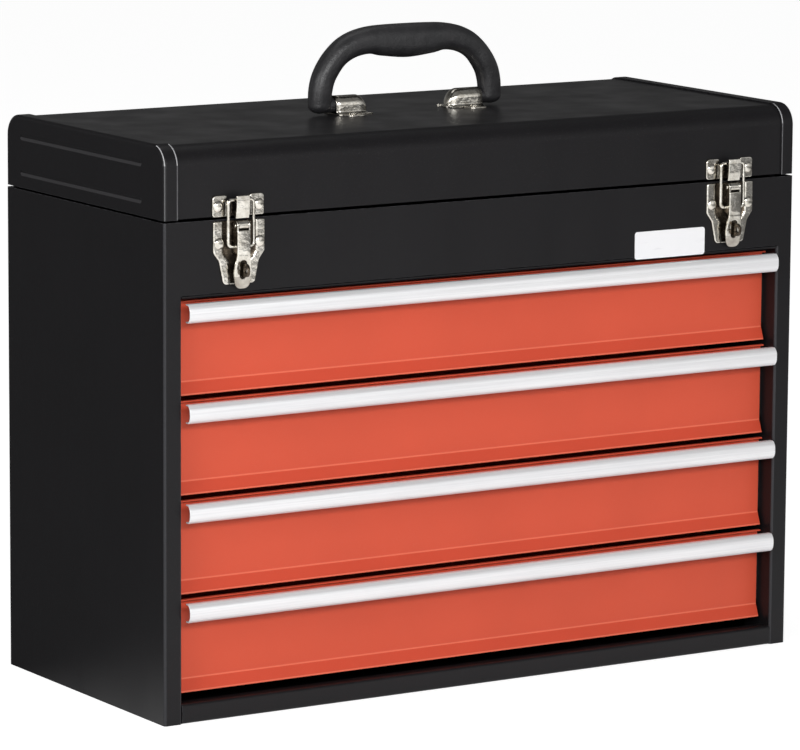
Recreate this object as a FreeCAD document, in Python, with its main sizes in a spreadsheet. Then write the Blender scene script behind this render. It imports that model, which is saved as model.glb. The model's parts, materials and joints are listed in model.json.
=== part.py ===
import FreeCAD, Part
import math
import os
import re
import Sketcher

# Portable tool box: a folded steel case with four drawers, a hinged lid with a folding
# handle, and two draw latches with padlock staples. Millimetres, +X to the right as seen
# from the front, the front face towards -Y, +Z up, the origin on the ground below the middle.

SIZES = {
    # case
    "case_width": 510.0,
    "case_depth": 220.0,
    "body_height": 337.0,
    "sheet": 1.0,
    "bend": 1.0,
    "column_width": 13.5,
    "column_return": 30.0,
    "back_flange": 11.0,
    "rail_height": 13.5,
    "rail_return": 10.0,
    "hem": 8.0,
    "floor_flange": 12.0,
    "post_gap": 10.0,
    "post_flange": 13.0,
    # drawers, stacked from the bottom rail up
    "drawer_low": 18.7,
    "drawer_gap": 3.5,
    "drawer_recess": 14.0,
    "front_gap": 2.0,
    "panel_gap": 2.4,
    "panel_height": 51.4,
    "front_nose": 4.0,
    "front_lip": 3.5,
    "lip_height": 9.0,
    "tray_sheet": 0.9,
    "tray_lift": 3.0,
    "tray_clear": 10.5,
    "tray_back_gap": 13.0,
    "tray_front_flange": 10.0,
    "tray_hem": 5.0,
    # drawer runners
    "runner_sheet": 1.0,
    "runner_height": 35.0,
    "runner_lip": 8.0,
    "runner_depth": 13.0,
    "runner_gap": 0.4,
    "runner_middle": 28.0,
    "runner_start": 2.0,
    # pulls
    "pull_gap": 2.5,
    "pull_height": 11.4,
    "pull_drop": 0.3,
    "pull_reach": 20.5,
    "pull_bulge": 2.8,
    "pull_return": 3.2,
    "pull_wall": 1.0,
    "pull_web_inset": 12.0,
    "pull_web_drop": 7.0,
    "pull_foot": 6.0,
    # lid
    "lid_gap": 1.5,
    "lid_height": 49.5,
    "lid_corner": 15.0,
    "cap_sheet": 1.2,
    "cap_rim": 10.5,
    "lid_return": 8.0,
    "curve_gap": 0.3,
    "groove_width": 4.5,
    "groove_depth": 0.5,
    "groove_front": 32.0,
    "groove_back": 22.5,
    "groove_upper": 14.5,
    "groove_lower": 39.0,
    # piano hinge
    "hinge_inset": 12.0,
    "leaf_sheet": 1.0,
    "leaf_height": 20.0,
    "hinge_pin_radius": 1.3,
    "pin_clearance": 0.05,
    "knuckle_radius": 2.6,
    "knuckle_gap": 0.3,
    "knuckle_clear": 0.4,
    # handle
    "handle_half_span": 69.9,
    "handle_rise": 42.1,
    "grip_thickness": 18.6,
    "grip_depth": 16.0,
    "pivot_height": 6.7,
    "toe_depth": 5.5,
    "stub_radius": 5.2,
    "stub_reach": 26.5,
    # handle brackets
    "saddle_clearance": 0.1,
    "saddle_sheet": 1.2,
    "saddle_gap": 0.8,
    "saddle_length": 17.8,
    "bracket_foot": 1.2,
    "bracket_inner": 8.0,
    "bracket_side": 3.5,
    "bracket_tab": 10.0,
    "bracket_tab_reach": 9.0,
    "bracket_corner": 3.0,
    "bracket_rivet_radius": 3.0,
    "bracket_rivet_head": 1.6,
    "bracket_rivet_crown": 1.8,
    # draw latches
    "latch_inset": 56.0,
    "latch_width": 39.5,
    "latch_sheet": 1.2,
    "base_height": 42.6,
    "base_top_drop": 1.0,
    "base_shoulder": 21.0,
    "base_waist": 27.0,
    "base_waist_half": 15.3,
    "base_foot_half": 12.0,
    "latch_corner": 3.0,
    "rivet_place": 15.5,
    "rivet_drop": 14.7,
    "rivet_radius": 4.0,
    "rivet_head": 2.2,
    "rivet_crown": 2.4,
    "lever_drop": 4.0,
    "lever_reach": 4.4,
    "lever_barrel": 3.5,
    "lever_pin_radius": 1.5,
    "lever_pin_end": 0.6,
    "lever_half": 5.0,
    "lever_ear_gap": 0.2,
    "lever_ear": 3.0,
    "lever_ear_round": 2.8,
    "lever_face": 8.6,
    "lever_web_drop": 3.2,
    "lever_bend": 19.6,
    "lever_bulge_place": 30.5,
    "lever_bulge_half": 6.85,
    "lever_tip": 42.1,
    "lever_tip_half": 3.9,
    "lever_tip_reach": 6.3,
    "slot_top": 23.0,
    "slot_bottom": 35.7,
    "slot_half": 2.25,
    "bail_drop": 14.0,
    "bail_toggle": 0.5,
    "bail_wire": 2.3,
    "bail_half": 9.6,
    "bail_reach": 3.9,
    "bail_bend": 2.4,
    "bail_seat": 0.05,
    # keepers on the lid
    "keeper_height": 14.5,
    "keeper_bridge": 2.5,
    "keeper_notch": 3.6,
    "keeper_rivet": 7.3,
    "hook_half": 5.0,
    "hook_shelf": 10.2,
    "hook_top": 14.4,
    "hook_skirt": 0.9,
    "hook_reach": 7.5,
    "hook_foot_reach": 5.9,
    # padlock staples
    "staple_thickness": 2.0,
    "staple_place": 33.5,
    "staple_half": 4.5,
    "staple_reach": 14.5,
    "staple_round": 4.2,
    "eye_radius": 2.0,
    "eye_inset": 3.0,
    # one overrun for every cut
    "over": 1.0,
}

DRAWERS = 4
KNUCKLES = 12

# Handle stations from the right pivot to the middle of the grip: the place across and up, and
# the thickness and depth, as shares of the half span, the rise, and the grip's own sizes.
# The last number is the turn of the section about Y in degrees.
GRIP_STATION_SHARES = (
    (1.000, 0.000, 1.000, 0.84, 0.0),
    (0.992, 0.235, 1.000, 0.97, 5.0),
    (0.959, 0.439, 0.941, 1.00, 17.9),
    (0.897, 0.622, 0.880, 1.00, 32.8),
    (0.815, 0.784, 0.880, 1.01, 48.2),
    (0.715, 0.907, 0.925, 1.06, 63.8),
    (0.591, 0.990, 0.968, 1.10, 74.7),
    (0.443, 1.031, 1.022, 1.13, 84.0),
    (0.286, 1.019, 1.161, 1.16, 90.0),
    (0.000, 1.000, 1.274, 1.19, 90.0),
)

# How much of the leg's section each rounded toe fills.
TOE_SHARE = 0.98

doc = FreeCAD.newDocument("ToolBox")
sheet = doc.addObject("Spreadsheet::Sheet", "Sizes")
for row, (alias, size) in enumerate(SIZES.items(), start=1):
    sheet.set("A%d" % row, alias.replace("_", " "))
    sheet.set("B%d" % row, str(size))
    sheet.setAlias("B%d" % row, alias)
doc.recompute()

V = FreeCAD.Vector
NODES = []


def bound(text):
    """The expression with every size's name pointed at the sheet."""
    return re.sub(r"[a-z_]+", lambda m: "Sizes." + m[0] if m[0] in SIZES else m[0], text)


def number(text):
    """What an expression over the sheet is worth now."""
    return float(sheet.evalExpression(text))


def node(thing, label):
    """Name a finished sub-part and list it for export."""
    thing.Label = label
    NODES.append(thing)
    return thing


def new_body(label):
    return node(doc.addObject("PartDesign::Body", label), label)


def lift(thing, axis, text):
    """Bind one coordinate of an object's place."""
    thing.setExpression("Placement.Base." + axis, bound(text))


def constrain(sketch, kind, *where, to=None):
    """Add a constraint; a size given as an expression stays bound to it."""
    if to is None:
        sketch.addConstraint(Sketcher.Constraint(kind, *where))
        return
    index = sketch.addConstraint(Sketcher.Constraint(kind, *where, number(to)))
    sketch.setExpression("Constraints[%d]" % index, bound(to))


def end_of(sketch, side, place):
    """1 or 2: which end of a line or arc lies at a place."""
    first, last = sketch.getPoint(side, 1), sketch.getPoint(side, 2)
    return 1 if first.distanceToPoint(place) < last.distanceToPoint(place) else 2


def outline(sketch, entries, closed=True):
    """Draw a chain through corners (x, y) or (x, y, radius) of a rounded corner.

    ("arc", sagitta) between two corners makes that side an arc, which bulges to the right of
    the way the outline runs, and ("half", sagitta) a half circle that the last side runs into.
    """
    corners, sagittas, halves = [], {}, set()
    for entry in entries:
        if entry[0] in ("arc", "half"):
            sagittas[len(corners) - 1] = entry[1]
            if entry[0] == "half":
                halves.add(len(corners) - 1)
        else:
            corners.append(entry)
    count = len(corners)
    places = [V(number(c[0]), number(c[1]), 0) for c in corners]
    arrive, leave, rounds = list(places), list(places), {}
    for i, corner in enumerate(corners):
        if len(corner) == 3:
            radius = number(corner[2])
            back = (places[i - 1] - places[i]).normalize()
            ahead = (places[(i + 1) % count] - places[i]).normalize()
            run = radius / math.tan(back.getAngle(ahead) / 2)
            inward = (back + ahead).normalize()
            nearest = places[i] + inward * (math.hypot(run, radius) - radius)
            arrive[i], leave[i] = places[i] + back * run, places[i] + ahead * run
            rounds[i] = Part.Arc(arrive[i], nearest, leave[i])
    pieces, lines = [], {}
    for i in range(count):
        if i in rounds:
            pieces.append((sketch.addGeometry(rounds[i]), arrive[i], leave[i]))
        if closed or i < count - 1:
            start, end = leave[i], arrive[(i + 1) % count]
            side = Part.LineSegment(start, end)
            if i in sagittas:
                away = V(end.y - start.y, start.x - end.x, 0).normalize()
                side = Part.Arc(start, (start + end) / 2 + away * number(sagittas[i]), end)
            lines[i] = sketch.addGeometry(side)
            pieces.append((lines[i], start, end))
    for here, there in zip(pieces, pieces[1:] + (pieces[:1] if closed else [])):
        smooth = (here[0] not in lines.values() or there[0] not in lines.values()
                  or there[0] in {lines[i] for i in halves})
        constrain(sketch, "Tangent" if smooth else "Coincident",
                  here[0], end_of(sketch, here[0], here[2]),
                  there[0], end_of(sketch, there[0], there[1]))
    for i, corner in enumerate(corners):
        after, before = lines.get(i), lines.get(i - 1 if i else (count - 1))
        if i in rounds:
            held, end = sketch.addGeometry(Part.Point(places[i]), True), 1
            constrain(sketch, "PointOnObject", held, 1, before)
            constrain(sketch, "PointOnObject", held, 1, after)
            arc = next(p[0] for p in pieces if p[1] == arrive[i] and p[0] not in lines.values())
            constrain(sketch, "Radius", arc, to=corner[2])
        else:
            held = before if after is None else after
            end = end_of(sketch, held, places[i])
        constrain(sketch, "DistanceX", held, end, to=corner[0])
        constrain(sketch, "DistanceY", held, end, to=corner[1])
    for i, sagitta in sagittas.items():
        if i in halves:
            continue
        here, there = corners[i], corners[(i + 1) % count]
        chord = "((%s) - (%s))^2 + ((%s) - (%s))^2" % (here[0], there[0], here[1], there[1])
        constrain(sketch, "Radius", lines[i], to="((%s) / 4 + (%s)^2) / (2 * abs(%s))" % (
            chord, sagitta, sagitta))


def circle(sketch, x, y, radius):
    ring = sketch.addGeometry(Part.Circle(V(number(x), number(y), 0), V(0, 0, 1), number(radius)))
    constrain(sketch, "Radius", ring, to=radius)
    constrain(sketch, "DistanceX", ring, 3, to=x)
    constrain(sketch, "DistanceY", ring, 3, to=y)


def sketch_on(body, name, plane, place, outlines):
    """A sketch on one of the body's own planes, moved along that plane's axis to a place."""
    sketch = body.newObject("Sketcher::SketchObject", name)
    origin = next(f for f in body.Origin.OriginFeatures if f.Role == plane + "_Plane")
    sketch.AttachmentSupport = [(origin, "")]
    sketch.MapMode = "FlatFace"
    sketch.setExpression("AttachmentOffset.Base.z", bound(place))
    for entries in outlines:
        if entries[0] == "circle":
            circle(sketch, *entries[1:])
        else:
            outline(sketch, entries)
    return sketch


def extrude(kind, body, name, plane, start, end, *outlines):
    """Pad or pocket outlines between two places along +X, +Y or +Z."""
    low_first = (kind == "Pad") == (plane != "XZ")
    place = "(%s)" % (start if low_first else end)
    if plane == "XZ":
        place = "0 - " + place
    volume = body.Shape.Volume if kind == "Pocket" else 0
    feature_sketch = sketch_on(body, name + "_outline", plane, place, outlines)
    feature = body.newObject("PartDesign::" + kind, name)
    feature.Profile = feature_sketch
    feature.setExpression("Length", bound("(%s) - (%s)" % (end, start)))
    doc.recompute()
    if kind == "Pocket" and not feature.Shape.Volume < volume:
        raise RuntimeError(name + " cuts nothing")
    return feature


def pad(*where):
    return extrude("Pad", *where)


def pocket(*where):
    return extrude("Pocket", *where)


def revolve(kind, body, name, plane, place, axis_at, entries):
    """Turn an outline about the line across = axis_at, parallel to the sketch's own Y."""
    profile = sketch_on(body, name + "_outline", plane, place, [entries])
    foot, head = V(number(axis_at), 0, 0), V(number(axis_at), number("over"), 0)
    axis = profile.addGeometry(Part.LineSegment(foot, head), True)
    constrain(profile, "Vertical", axis)
    constrain(profile, "DistanceX", axis, 1, to=axis_at)
    constrain(profile, "PointOnObject", axis, 1, -1)
    constrain(profile, "DistanceY", axis, 1, axis, 2, to="over")
    feature = body.newObject("PartDesign::" + kind, name)
    feature.Profile = profile
    feature.ReferenceAxis = (profile, ["Axis0"])
    doc.recompute()
    return feature


def mirrored(source, label):
    """The same piece on the left."""
    copy = doc.addObject("Part::Mirroring", label)
    copy.Source = source
    copy.Normal = V(1, 0, 0)
    return node(copy, label)


def group(label, things):
    """Several loose pieces that one node holds."""
    pieces = doc.addObject("Part::Compound", label)
    pieces.Links = things
    return node(pieces, label)


def box(left, right, low, high):
    """The corners of a plain rectangle, across then up."""
    return [(left, low), (right, low), (right, high), (left, high)]


def folded(corners, thickness, side):
    """A sheet's section from its outer line, square corners only: bends rounded on both faces.

    side is +1 where the metal lies to the left of the way the line runs, -1 to the right.
    """
    places = [(number(x), number(y)) for x, y in corners]
    last = len(corners) - 1
    inner = []
    for i, (x, y) in enumerate(corners):
        shift = [0, 0]
        for a in {max(i - 1, 0), min(i, last - 1)}:
            across = places[a + 1][0] - places[a][0]
            up = places[a + 1][1] - places[a][1]
            if abs(across) > abs(up):
                shift[1] = side * math.copysign(1, across)
            else:
                shift[0] = -side * math.copysign(1, up)
        moved = ["(%s) %s %s" % (c, "+" if s > 0 else "-", thickness) if s else c
                 for c, s in zip((x, y), shift)]
        if 0 < i < last:
            ahead = (places[i + 1][0] - places[i][0], places[i + 1][1] - places[i][1])
            back = (places[i][0] - places[i - 1][0], places[i][1] - places[i - 1][1])
            turn = back[0] * ahead[1] - back[1] * ahead[0]
            outside = turn * side > 0
            moved.append("bend" if outside else "bend + " + thickness)
            corners = corners[:i] + [(x, y, "bend + " + thickness if outside else "bend")] + corners[i + 1:]
        inner.append(tuple(moved))
    return corners + inner[::-1]


# Places that several pieces share.
half_width = "(case_width / 2)"
front = "(0 - case_depth / 2)"
back = "(case_depth / 2)"
side_inner = "(case_width / 2 - sheet)"
back_inner = "(case_depth / 2 - 2 * sheet)"
opening = "(case_width / 2 - column_width)"
drawer_face = "(0 - case_depth / 2 + drawer_recess)"
panel_low = "(body_height - panel_height)"
drawer_pitch = f"(({panel_low} - panel_gap - drawer_low + drawer_gap) / {DRAWERS})"
drawer_height = f"({drawer_pitch} - drawer_gap)"
shelf_low = f"({panel_low} + sheet)"
lid_low = "(body_height + lid_gap)"
lid_top = "(body_height + lid_gap + lid_height)"
skin_top = f"({lid_top} - cap_sheet)"
skin_front = f"({front} + cap_sheet)"
skin_back = f"({back} - cap_sheet)"
tray_half = f"({opening} - runner_depth)"
tray_start = f"({drawer_face} + sheet)"
tray_end = f"({back_inner} - tray_back_gap)"
runner_y = f"({tray_start} + runner_start)"
post_back = f"({back_inner} - post_gap)"
post_front = f"({post_back} - 2 * post_flange)"


# Case: C-shaped sides, whose front flange and return make the corner columns.
right_side = new_body("right_side_panel")
pad(right_side, "channel", "XY", "0", "body_height", folded([
    (opening, f"{front} + column_return"),
    (opening, front),
    (half_width, front),
    (half_width, back),
    (f"{half_width} - back_flange", back),
], "sheet", 1))
pad(right_side, "edge_hem", "XY", "body_height - hem", "body_height",
    box(f"{side_inner} - sheet", side_inner, f"{front} + column_return", f"{back_inner} - sheet"))
mirrored(right_side, "left_side_panel")

back_panel = new_body("back_panel")
pad(back_panel, "plate", "XZ", back_inner, f"{back_inner} + sheet",
    box(f"0 - {side_inner} + bend", f"{side_inner} - bend", "0", "body_height"))
pad(back_panel, "edge_hem", "XZ", f"{back_inner} - sheet", back_inner,
    box(f"0 - {side_inner} + 2 * sheet", f"{side_inner} - 2 * sheet", "body_height - hem",
        "body_height"))


def notch_for_columns(body, low, high):
    """Cut a floor back from both corner columns."""
    for name, inner, outer in (("right", opening, f"{half_width} + over"),
                               ("left", f"0 - {half_width} - over", f"0 - {opening}")):
        pocket(body, name + "_notch", "XY", low, high,
               box(inner, outer, f"{front} - over", f"{front} + column_return"))


bottom_panel = new_body("bottom_panel")
pad(bottom_panel, "floor_and_rail", "YZ", f"0 - {side_inner}", side_inner, folded([
    (f"{front} + rail_return", "rail_height"),
    (front, "rail_height"),
    (front, "0"),
    (back_inner, "0"),
    (back_inner, "floor_flange"),
], "sheet", 1))
notch_for_columns(bottom_panel, "0 - over", "rail_height + over")

top_front = new_body("top_front_panel")
pad(top_front, "panel", "YZ", f"0 - {opening}", opening, folded([
    (f"{front} + rail_return", panel_low),
    (front, panel_low),
    (front, "body_height"),
], "sheet", -1))
pad(top_front, "edge_hem", "YZ", f"0 - {opening}", opening,
    box(f"{front} + sheet", f"{front} + 2 * sheet", "body_height - hem", "body_height"))

shelf = new_body("compartment_floor")
pad(shelf, "floor", "XZ", f"{front} + sheet + bend", back_inner, folded([
    (f"0 - {side_inner}", f"{shelf_low} + floor_flange"),
    (f"0 - {side_inner}", shelf_low),
    (side_inner, shelf_low),
    (side_inner, f"{shelf_low} + floor_flange"),
], "sheet", 1))
notch_for_columns(shelf, f"{shelf_low} - over", f"{shelf_low} + floor_flange + over")

right_post = new_body("right_runner_post")
pad(right_post, "post", "XY", "sheet", shelf_low, folded([
    (side_inner, post_front),
    (side_inner, f"{post_front} + post_flange"),
    (f"{opening} + sheet", f"{post_front} + post_flange"),
    (f"{opening} + sheet", post_back),
], "sheet", 1))
mirrored(right_post, "left_runner_post")

right_runners = new_body("right_fixed_runners")
runner_sections = []
for k in range(DRAWERS):
    middle = f"(drawer_low + {k} * {drawer_pitch} + runner_middle)"
    runner_sections.append(folded([
        (f"{opening} - runner_lip", f"{middle} - runner_height / 2"),
        (opening, f"{middle} - runner_height / 2"),
        (opening, f"{middle} + runner_height / 2"),
        (f"{opening} - runner_lip", f"{middle} + runner_height / 2"),
    ], "runner_sheet", 1))
pad(right_runners, "channels", "XZ", runner_y, tray_end, *runner_sections)
mirrored(right_runners, "left_fixed_runners")


# Drawers: a folded tray, a front with a nosed top edge and a kicked-out lip, a pull, runners.
def drawer(name, low):
    top = f"({low} + {drawer_height})"
    floor_low = f"({low} + tray_lift)"
    wall_top = f"({top} - tray_clear)"

    tray = new_body(name + "_tray")
    pad(tray, "sides_and_floor", "XZ", tray_start, tray_end, folded([
        (f"0 - {tray_half}", wall_top),
        (f"0 - {tray_half}", floor_low),
        (tray_half, floor_low),
        (tray_half, wall_top),
    ], "tray_sheet", 1))
    inside = f"({tray_half} - tray_sheet)"
    pad(tray, "back_wall", "XZ", f"{tray_end} - tray_sheet", tray_end,
        box(f"0 - {inside}", inside, f"{floor_low} + tray_sheet", wall_top))
    pad(tray, "front_flange", "XZ", tray_start, f"{tray_start} + tray_sheet",
        box(f"0 - {inside}", inside, f"{floor_low} + tray_sheet", f"{floor_low} + tray_front_flange"))
    pad(tray, "wall_hems", "XZ", tray_start, f"{tray_end} - tray_sheet",
        box(f"{inside} - tray_sheet", inside, f"{wall_top} - tray_hem", wall_top),
        box(f"0 - {inside}", f"0 - {inside} + tray_sheet", f"{wall_top} - tray_hem", wall_top))

    panel = new_body(name + "_front")
    panel_half = f"({opening} - front_gap)"
    pad(panel, "panel", "YZ", f"0 - {panel_half}", panel_half, [
        (f"{drawer_face} - front_nose", top),
        (f"{drawer_face} + sheet", top, "bend + sheet"),
        (f"{drawer_face} + sheet", f"{low} + lip_height"),
        (f"{drawer_face} + sheet - front_lip", low),
        (f"{drawer_face} - front_lip", low),
        (drawer_face, f"{low} + lip_height"),
        (drawer_face, f"{top} - sheet", "bend"),
        (f"{drawer_face} - front_nose", f"{top} - sheet"),
    ])

    pull = new_body(name + "_pull")
    pull_half = f"({opening} - pull_gap)"
    pull_top = f"({top} - pull_drop)"
    pull_low = f"({top} - pull_drop - pull_height)"
    pull_bend = f"({drawer_face} - pull_reach + pull_bulge)"
    pull_back = f"({pull_bend} + pull_return)"
    web_start = f"({drawer_face} - pull_reach + pull_wall / 2)"
    web_top = f"({top} - pull_web_drop)"
    pad(pull, "grip_strip", "YZ", f"0 - {pull_half}", pull_half, [
        (pull_back, pull_top),
        (pull_bend, pull_top),
        ("arc", "pull_bulge"),
        (pull_bend, pull_low),
        (pull_back, pull_low),
        (pull_back, f"{pull_low} + pull_wall"),
        (pull_bend, f"{pull_low} + pull_wall"),
        ("arc", "0 - (pull_bulge - pull_wall)"),
        (pull_bend, f"{pull_top} - pull_wall"),
        (pull_back, f"{pull_top} - pull_wall"),
    ])
    web_half = f"({pull_half} - pull_web_inset)"
    pad(pull, "web_and_foot", "YZ", f"0 - {web_half}", web_half, [
        (web_start, f"{web_top} - pull_wall"),
        (f"{drawer_face} - pull_wall", f"{web_top} - pull_wall"),
        (f"{drawer_face} - pull_wall", f"{web_top} - pull_foot"),
        (drawer_face, f"{web_top} - pull_foot"),
        (drawer_face, web_top),
        (web_start, web_top),
    ])

    slides = new_body(name + "_runners")
    middle = f"({low} + runner_middle)"
    rise = "(runner_height / 2 - runner_sheet - runner_gap)"
    sections = []
    for sign, side in (("", -1), ("0 - ", 1)):
        sections.append(folded([
            (f"{sign}({tray_half} + runner_lip)", f"{middle} - {rise}"),
            (f"{sign}{tray_half}", f"{middle} - {rise}"),
            (f"{sign}{tray_half}", f"{middle} + {rise}"),
            (f"{sign}({tray_half} + runner_lip)", f"{middle} + {rise}"),
        ], "runner_sheet", side))
    pad(slides, "channels", "XZ", runner_y, tray_end, *sections)


for k in range(DRAWERS):
    drawer("drawer_%d" % (DRAWERS - k), f"(drawer_low + {k} * {drawer_pitch})")


# Lid: a wrapped cover between two pressed end caps.
cover_radius = "(lid_corner - cap_sheet + curve_gap)"
cover = new_body("lid_cover")
pad(cover, "wrap", "YZ", f"0 - {half_width} + cap_sheet", f"{half_width} - cap_sheet", [
    (f"{skin_front} + lid_return", lid_low),
    (skin_front, lid_low),
    (skin_front, skin_top, cover_radius),
    (skin_back, skin_top, cover_radius),
    (skin_back, lid_low),
    (f"{skin_back} - lid_return", lid_low),
    (f"{skin_back} - lid_return", f"{lid_low} + sheet"),
    (f"{skin_back} - sheet", f"{lid_low} + sheet"),
    (f"{skin_back} - sheet", f"{skin_top} - sheet", f"{cover_radius} - sheet"),
    (f"{skin_front} + sheet", f"{skin_top} - sheet", f"{cover_radius} - sheet"),
    (f"{skin_front} + sheet", f"{lid_low} + sheet"),
    (f"{skin_front} + lid_return", f"{lid_low} + sheet"),
])

right_end = new_body("lid_right_end")
pad(right_end, "pan", "YZ", f"{half_width} - cap_rim", half_width, [
    (front, lid_low),
    (back, lid_low),
    (back, lid_top, "lid_corner"),
    (front, lid_top, "lid_corner"),
])
pocket(right_end, "inside", "YZ", f"{half_width} - cap_rim - over", f"{half_width} - cap_sheet", [
    (skin_front, f"{lid_low} - over"),
    (skin_back, f"{lid_low} - over"),
    (skin_back, skin_top, "lid_corner - cap_sheet"),
    (skin_front, skin_top, "lid_corner - cap_sheet"),
])
bead_half = "(groove_width / 2)"
beads = []
for drop in ("groove_upper", "groove_lower"):
    height = f"({lid_top} - {drop})"
    beads.append([
        (f"{front} + groove_front", f"{height} - {bead_half}"),
        (f"{back} - groove_back", f"{height} - {bead_half}"),
        ("half", bead_half),
        (f"{back} - groove_back", f"{height} + {bead_half}"),
        (f"{front} + groove_front", f"{height} + {bead_half}"),
        ("half", bead_half),
    ])
pocket(right_end, "pressed_beads", "YZ", f"{half_width} - groove_depth", f"{half_width} + over", *beads)
pad(right_end, "bead_backs", "YZ", f"{half_width} - cap_sheet - groove_depth",
    f"{half_width} - cap_sheet", *beads)
mirrored(right_end, "lid_left_end")


# Piano hinge along the back.
hinge_y = f"({back} - sheet + knuckle_radius)"
hinge_z = "(body_height + lid_gap / 2)"
hinge_half = f"({half_width} - hinge_inset)"
knuckle_pitch = f"(2 * {hinge_half} / {KNUCKLES})"
knuckle_rise = "(knuckle_radius + knuckle_clear)"


def hinge_leaf(label, leaf_y, first, tab_low, tab_high, plate_low, plate_high):
    """A leaf with every second knuckle of the hinge."""
    leaf = new_body(label)
    start = f"({first} * {knuckle_pitch} - {hinge_half})"
    end = f"({start} + {knuckle_pitch} - knuckle_gap)"
    pad(leaf, "plate", "XZ", leaf_y, f"{leaf_y} + leaf_sheet",
        box(f"0 - {hinge_half}", hinge_half, plate_low, plate_high))
    tab = pad(leaf, "tab", "YZ", start, end, box(leaf_y, f"{leaf_y} + leaf_sheet", tab_low, tab_high))
    barrel = pad(leaf, "barrel", "YZ", start, end,
                 ("circle", hinge_y, hinge_z, "knuckle_radius"),
                 ("circle", hinge_y, hinge_z, "hinge_pin_radius + pin_clearance"))
    row_of = leaf.newObject("PartDesign::LinearPattern", "knuckles")
    row_of.Originals = [tab, barrel]
    row_of.Direction = (next(f for f in leaf.Origin.OriginFeatures if f.Role == "X_Axis"), [""])
    row_of.Occurrences = KNUCKLES // 2
    row_of.setExpression("Length", bound("%d * %s" % (KNUCKLES - 2, knuckle_pitch)))
    leaf.Tip = row_of
    return leaf


hinge_leaf("hinge_body_leaf", f"({back} - sheet)", 0, f"{hinge_z} - {knuckle_rise}", hinge_z,
           f"{hinge_z} - leaf_height", f"{hinge_z} - {knuckle_rise}")
hinge_leaf("hinge_lid_leaf", skin_back, 1, hinge_z, f"{hinge_z} + {knuckle_rise}",
           f"{hinge_z} + {knuckle_rise}", f"{hinge_z} + leaf_height")


def rod(label, start, y, z, length, radius):
    """A round bar along X."""
    bar = doc.addObject("Part::Cylinder", label)
    bar.Placement = FreeCAD.Placement(V(0, 0, 0), FreeCAD.Rotation(V(0, 1, 0), 90))
    lift(bar, "x", start)
    lift(bar, "y", y)
    lift(bar, "z", z)
    bar.setExpression("Height", bound(length))
    bar.setExpression("Radius", bound(radius))
    return bar


node(rod("hinge_pin", f"0 - {hinge_half}", hinge_y, hinge_z, f"2 * {hinge_half}", "hinge_pin_radius"),
     "hinge_pin")


# Handle: an oval grip lofted over an arch, with rounded toes and a pivot stub on each leg.
pivot_z = f"({skin_top} + pivot_height)"
stations = [(across, up, thick, deep, turn) for across, up, thick, deep, turn in GRIP_STATION_SHARES]
stations += [(-across, up, thick, deep, 180 - turn)
             for across, up, thick, deep, turn in reversed(GRIP_STATION_SHARES[:-1])]
ovals = []
for across, up, thick, deep, turn in stations:
    oval = doc.addObject("Part::Ellipse", "grip_section")
    oval.Placement = FreeCAD.Placement(V(0, 0, 0), FreeCAD.Rotation(V(0, -1, 0), turn))
    lift(oval, "x", f"handle_half_span * ({across})")
    lift(oval, "z", f"{pivot_z} + handle_rise * {up}")
    oval.setExpression("MajorRadius", bound(f"grip_thickness / 2 * {thick}"))
    oval.setExpression("MinorRadius", bound(f"grip_depth / 2 * {deep}"))
    ovals.append(oval)
arch = doc.addObject("Part::Loft", "grip_arch")
arch.Sections = ovals
arch.Solid = True
arch.Ruled = True
grip_pieces = [arch]
leg_share = GRIP_STATION_SHARES[0]
for name, place in (("right", "handle_half_span"), ("left", "0 - handle_half_span")):
    toe = doc.addObject("Part::Ellipsoid", name + "_toe")
    toe.setExpression("Radius1", bound("toe_depth"))
    toe.setExpression("Radius2", bound(f"grip_thickness / 2 * {leg_share[2]} * {TOE_SHARE}"))
    toe.setExpression("Radius3", bound(f"grip_depth / 2 * {leg_share[3]} * {TOE_SHARE}"))
    lift(toe, "x", place)
    lift(toe, "z", pivot_z)
    stub_start = "handle_half_span - stub_reach" if name == "right" else "0 - handle_half_span"
    grip_pieces += [toe, rod(name + "_stub", stub_start, "0", pivot_z, "stub_reach", "stub_radius")]
grip = doc.addObject("Part::MultiFuse", "handle_grip")
grip.Shapes = grip_pieces
node(grip, "handle_grip")


# Handle brackets: a pressed saddle over each stub, domed at its inner end, on a riveted foot.
saddle_end = "(handle_half_span - grip_thickness / 2 - saddle_gap)"
saddle_radius = "(stub_radius + saddle_clearance + saddle_sheet)"
hollow_radius = "(stub_radius + saddle_clearance)"
dome_x = f"({saddle_end} - saddle_length)"
foot_half = f"({saddle_radius} + bracket_side)"
foot_end = f"({dome_x} - {saddle_radius} - bracket_inner)"
tab_x = f"({saddle_end} - bracket_tab)"
tab_half = "(bracket_tab - bracket_corner)"
tab_end = f"({foot_half} + bracket_tab_reach)"


def arch_section(radius, low):
    return [(f"0 - {radius}", low), (radius, low), (radius, pivot_z), ("half", radius),
            (f"0 - {radius}", pivot_z)]


def dome_section(radius, low):
    return [(dome_x, low), (f"{dome_x} - {radius}", low), (f"{dome_x} - {radius}", pivot_z),
            ("arc", f"0 - {radius} * (1 - sqrt(2) / 2)"), (dome_x, f"{pivot_z} + {radius}")]


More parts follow.
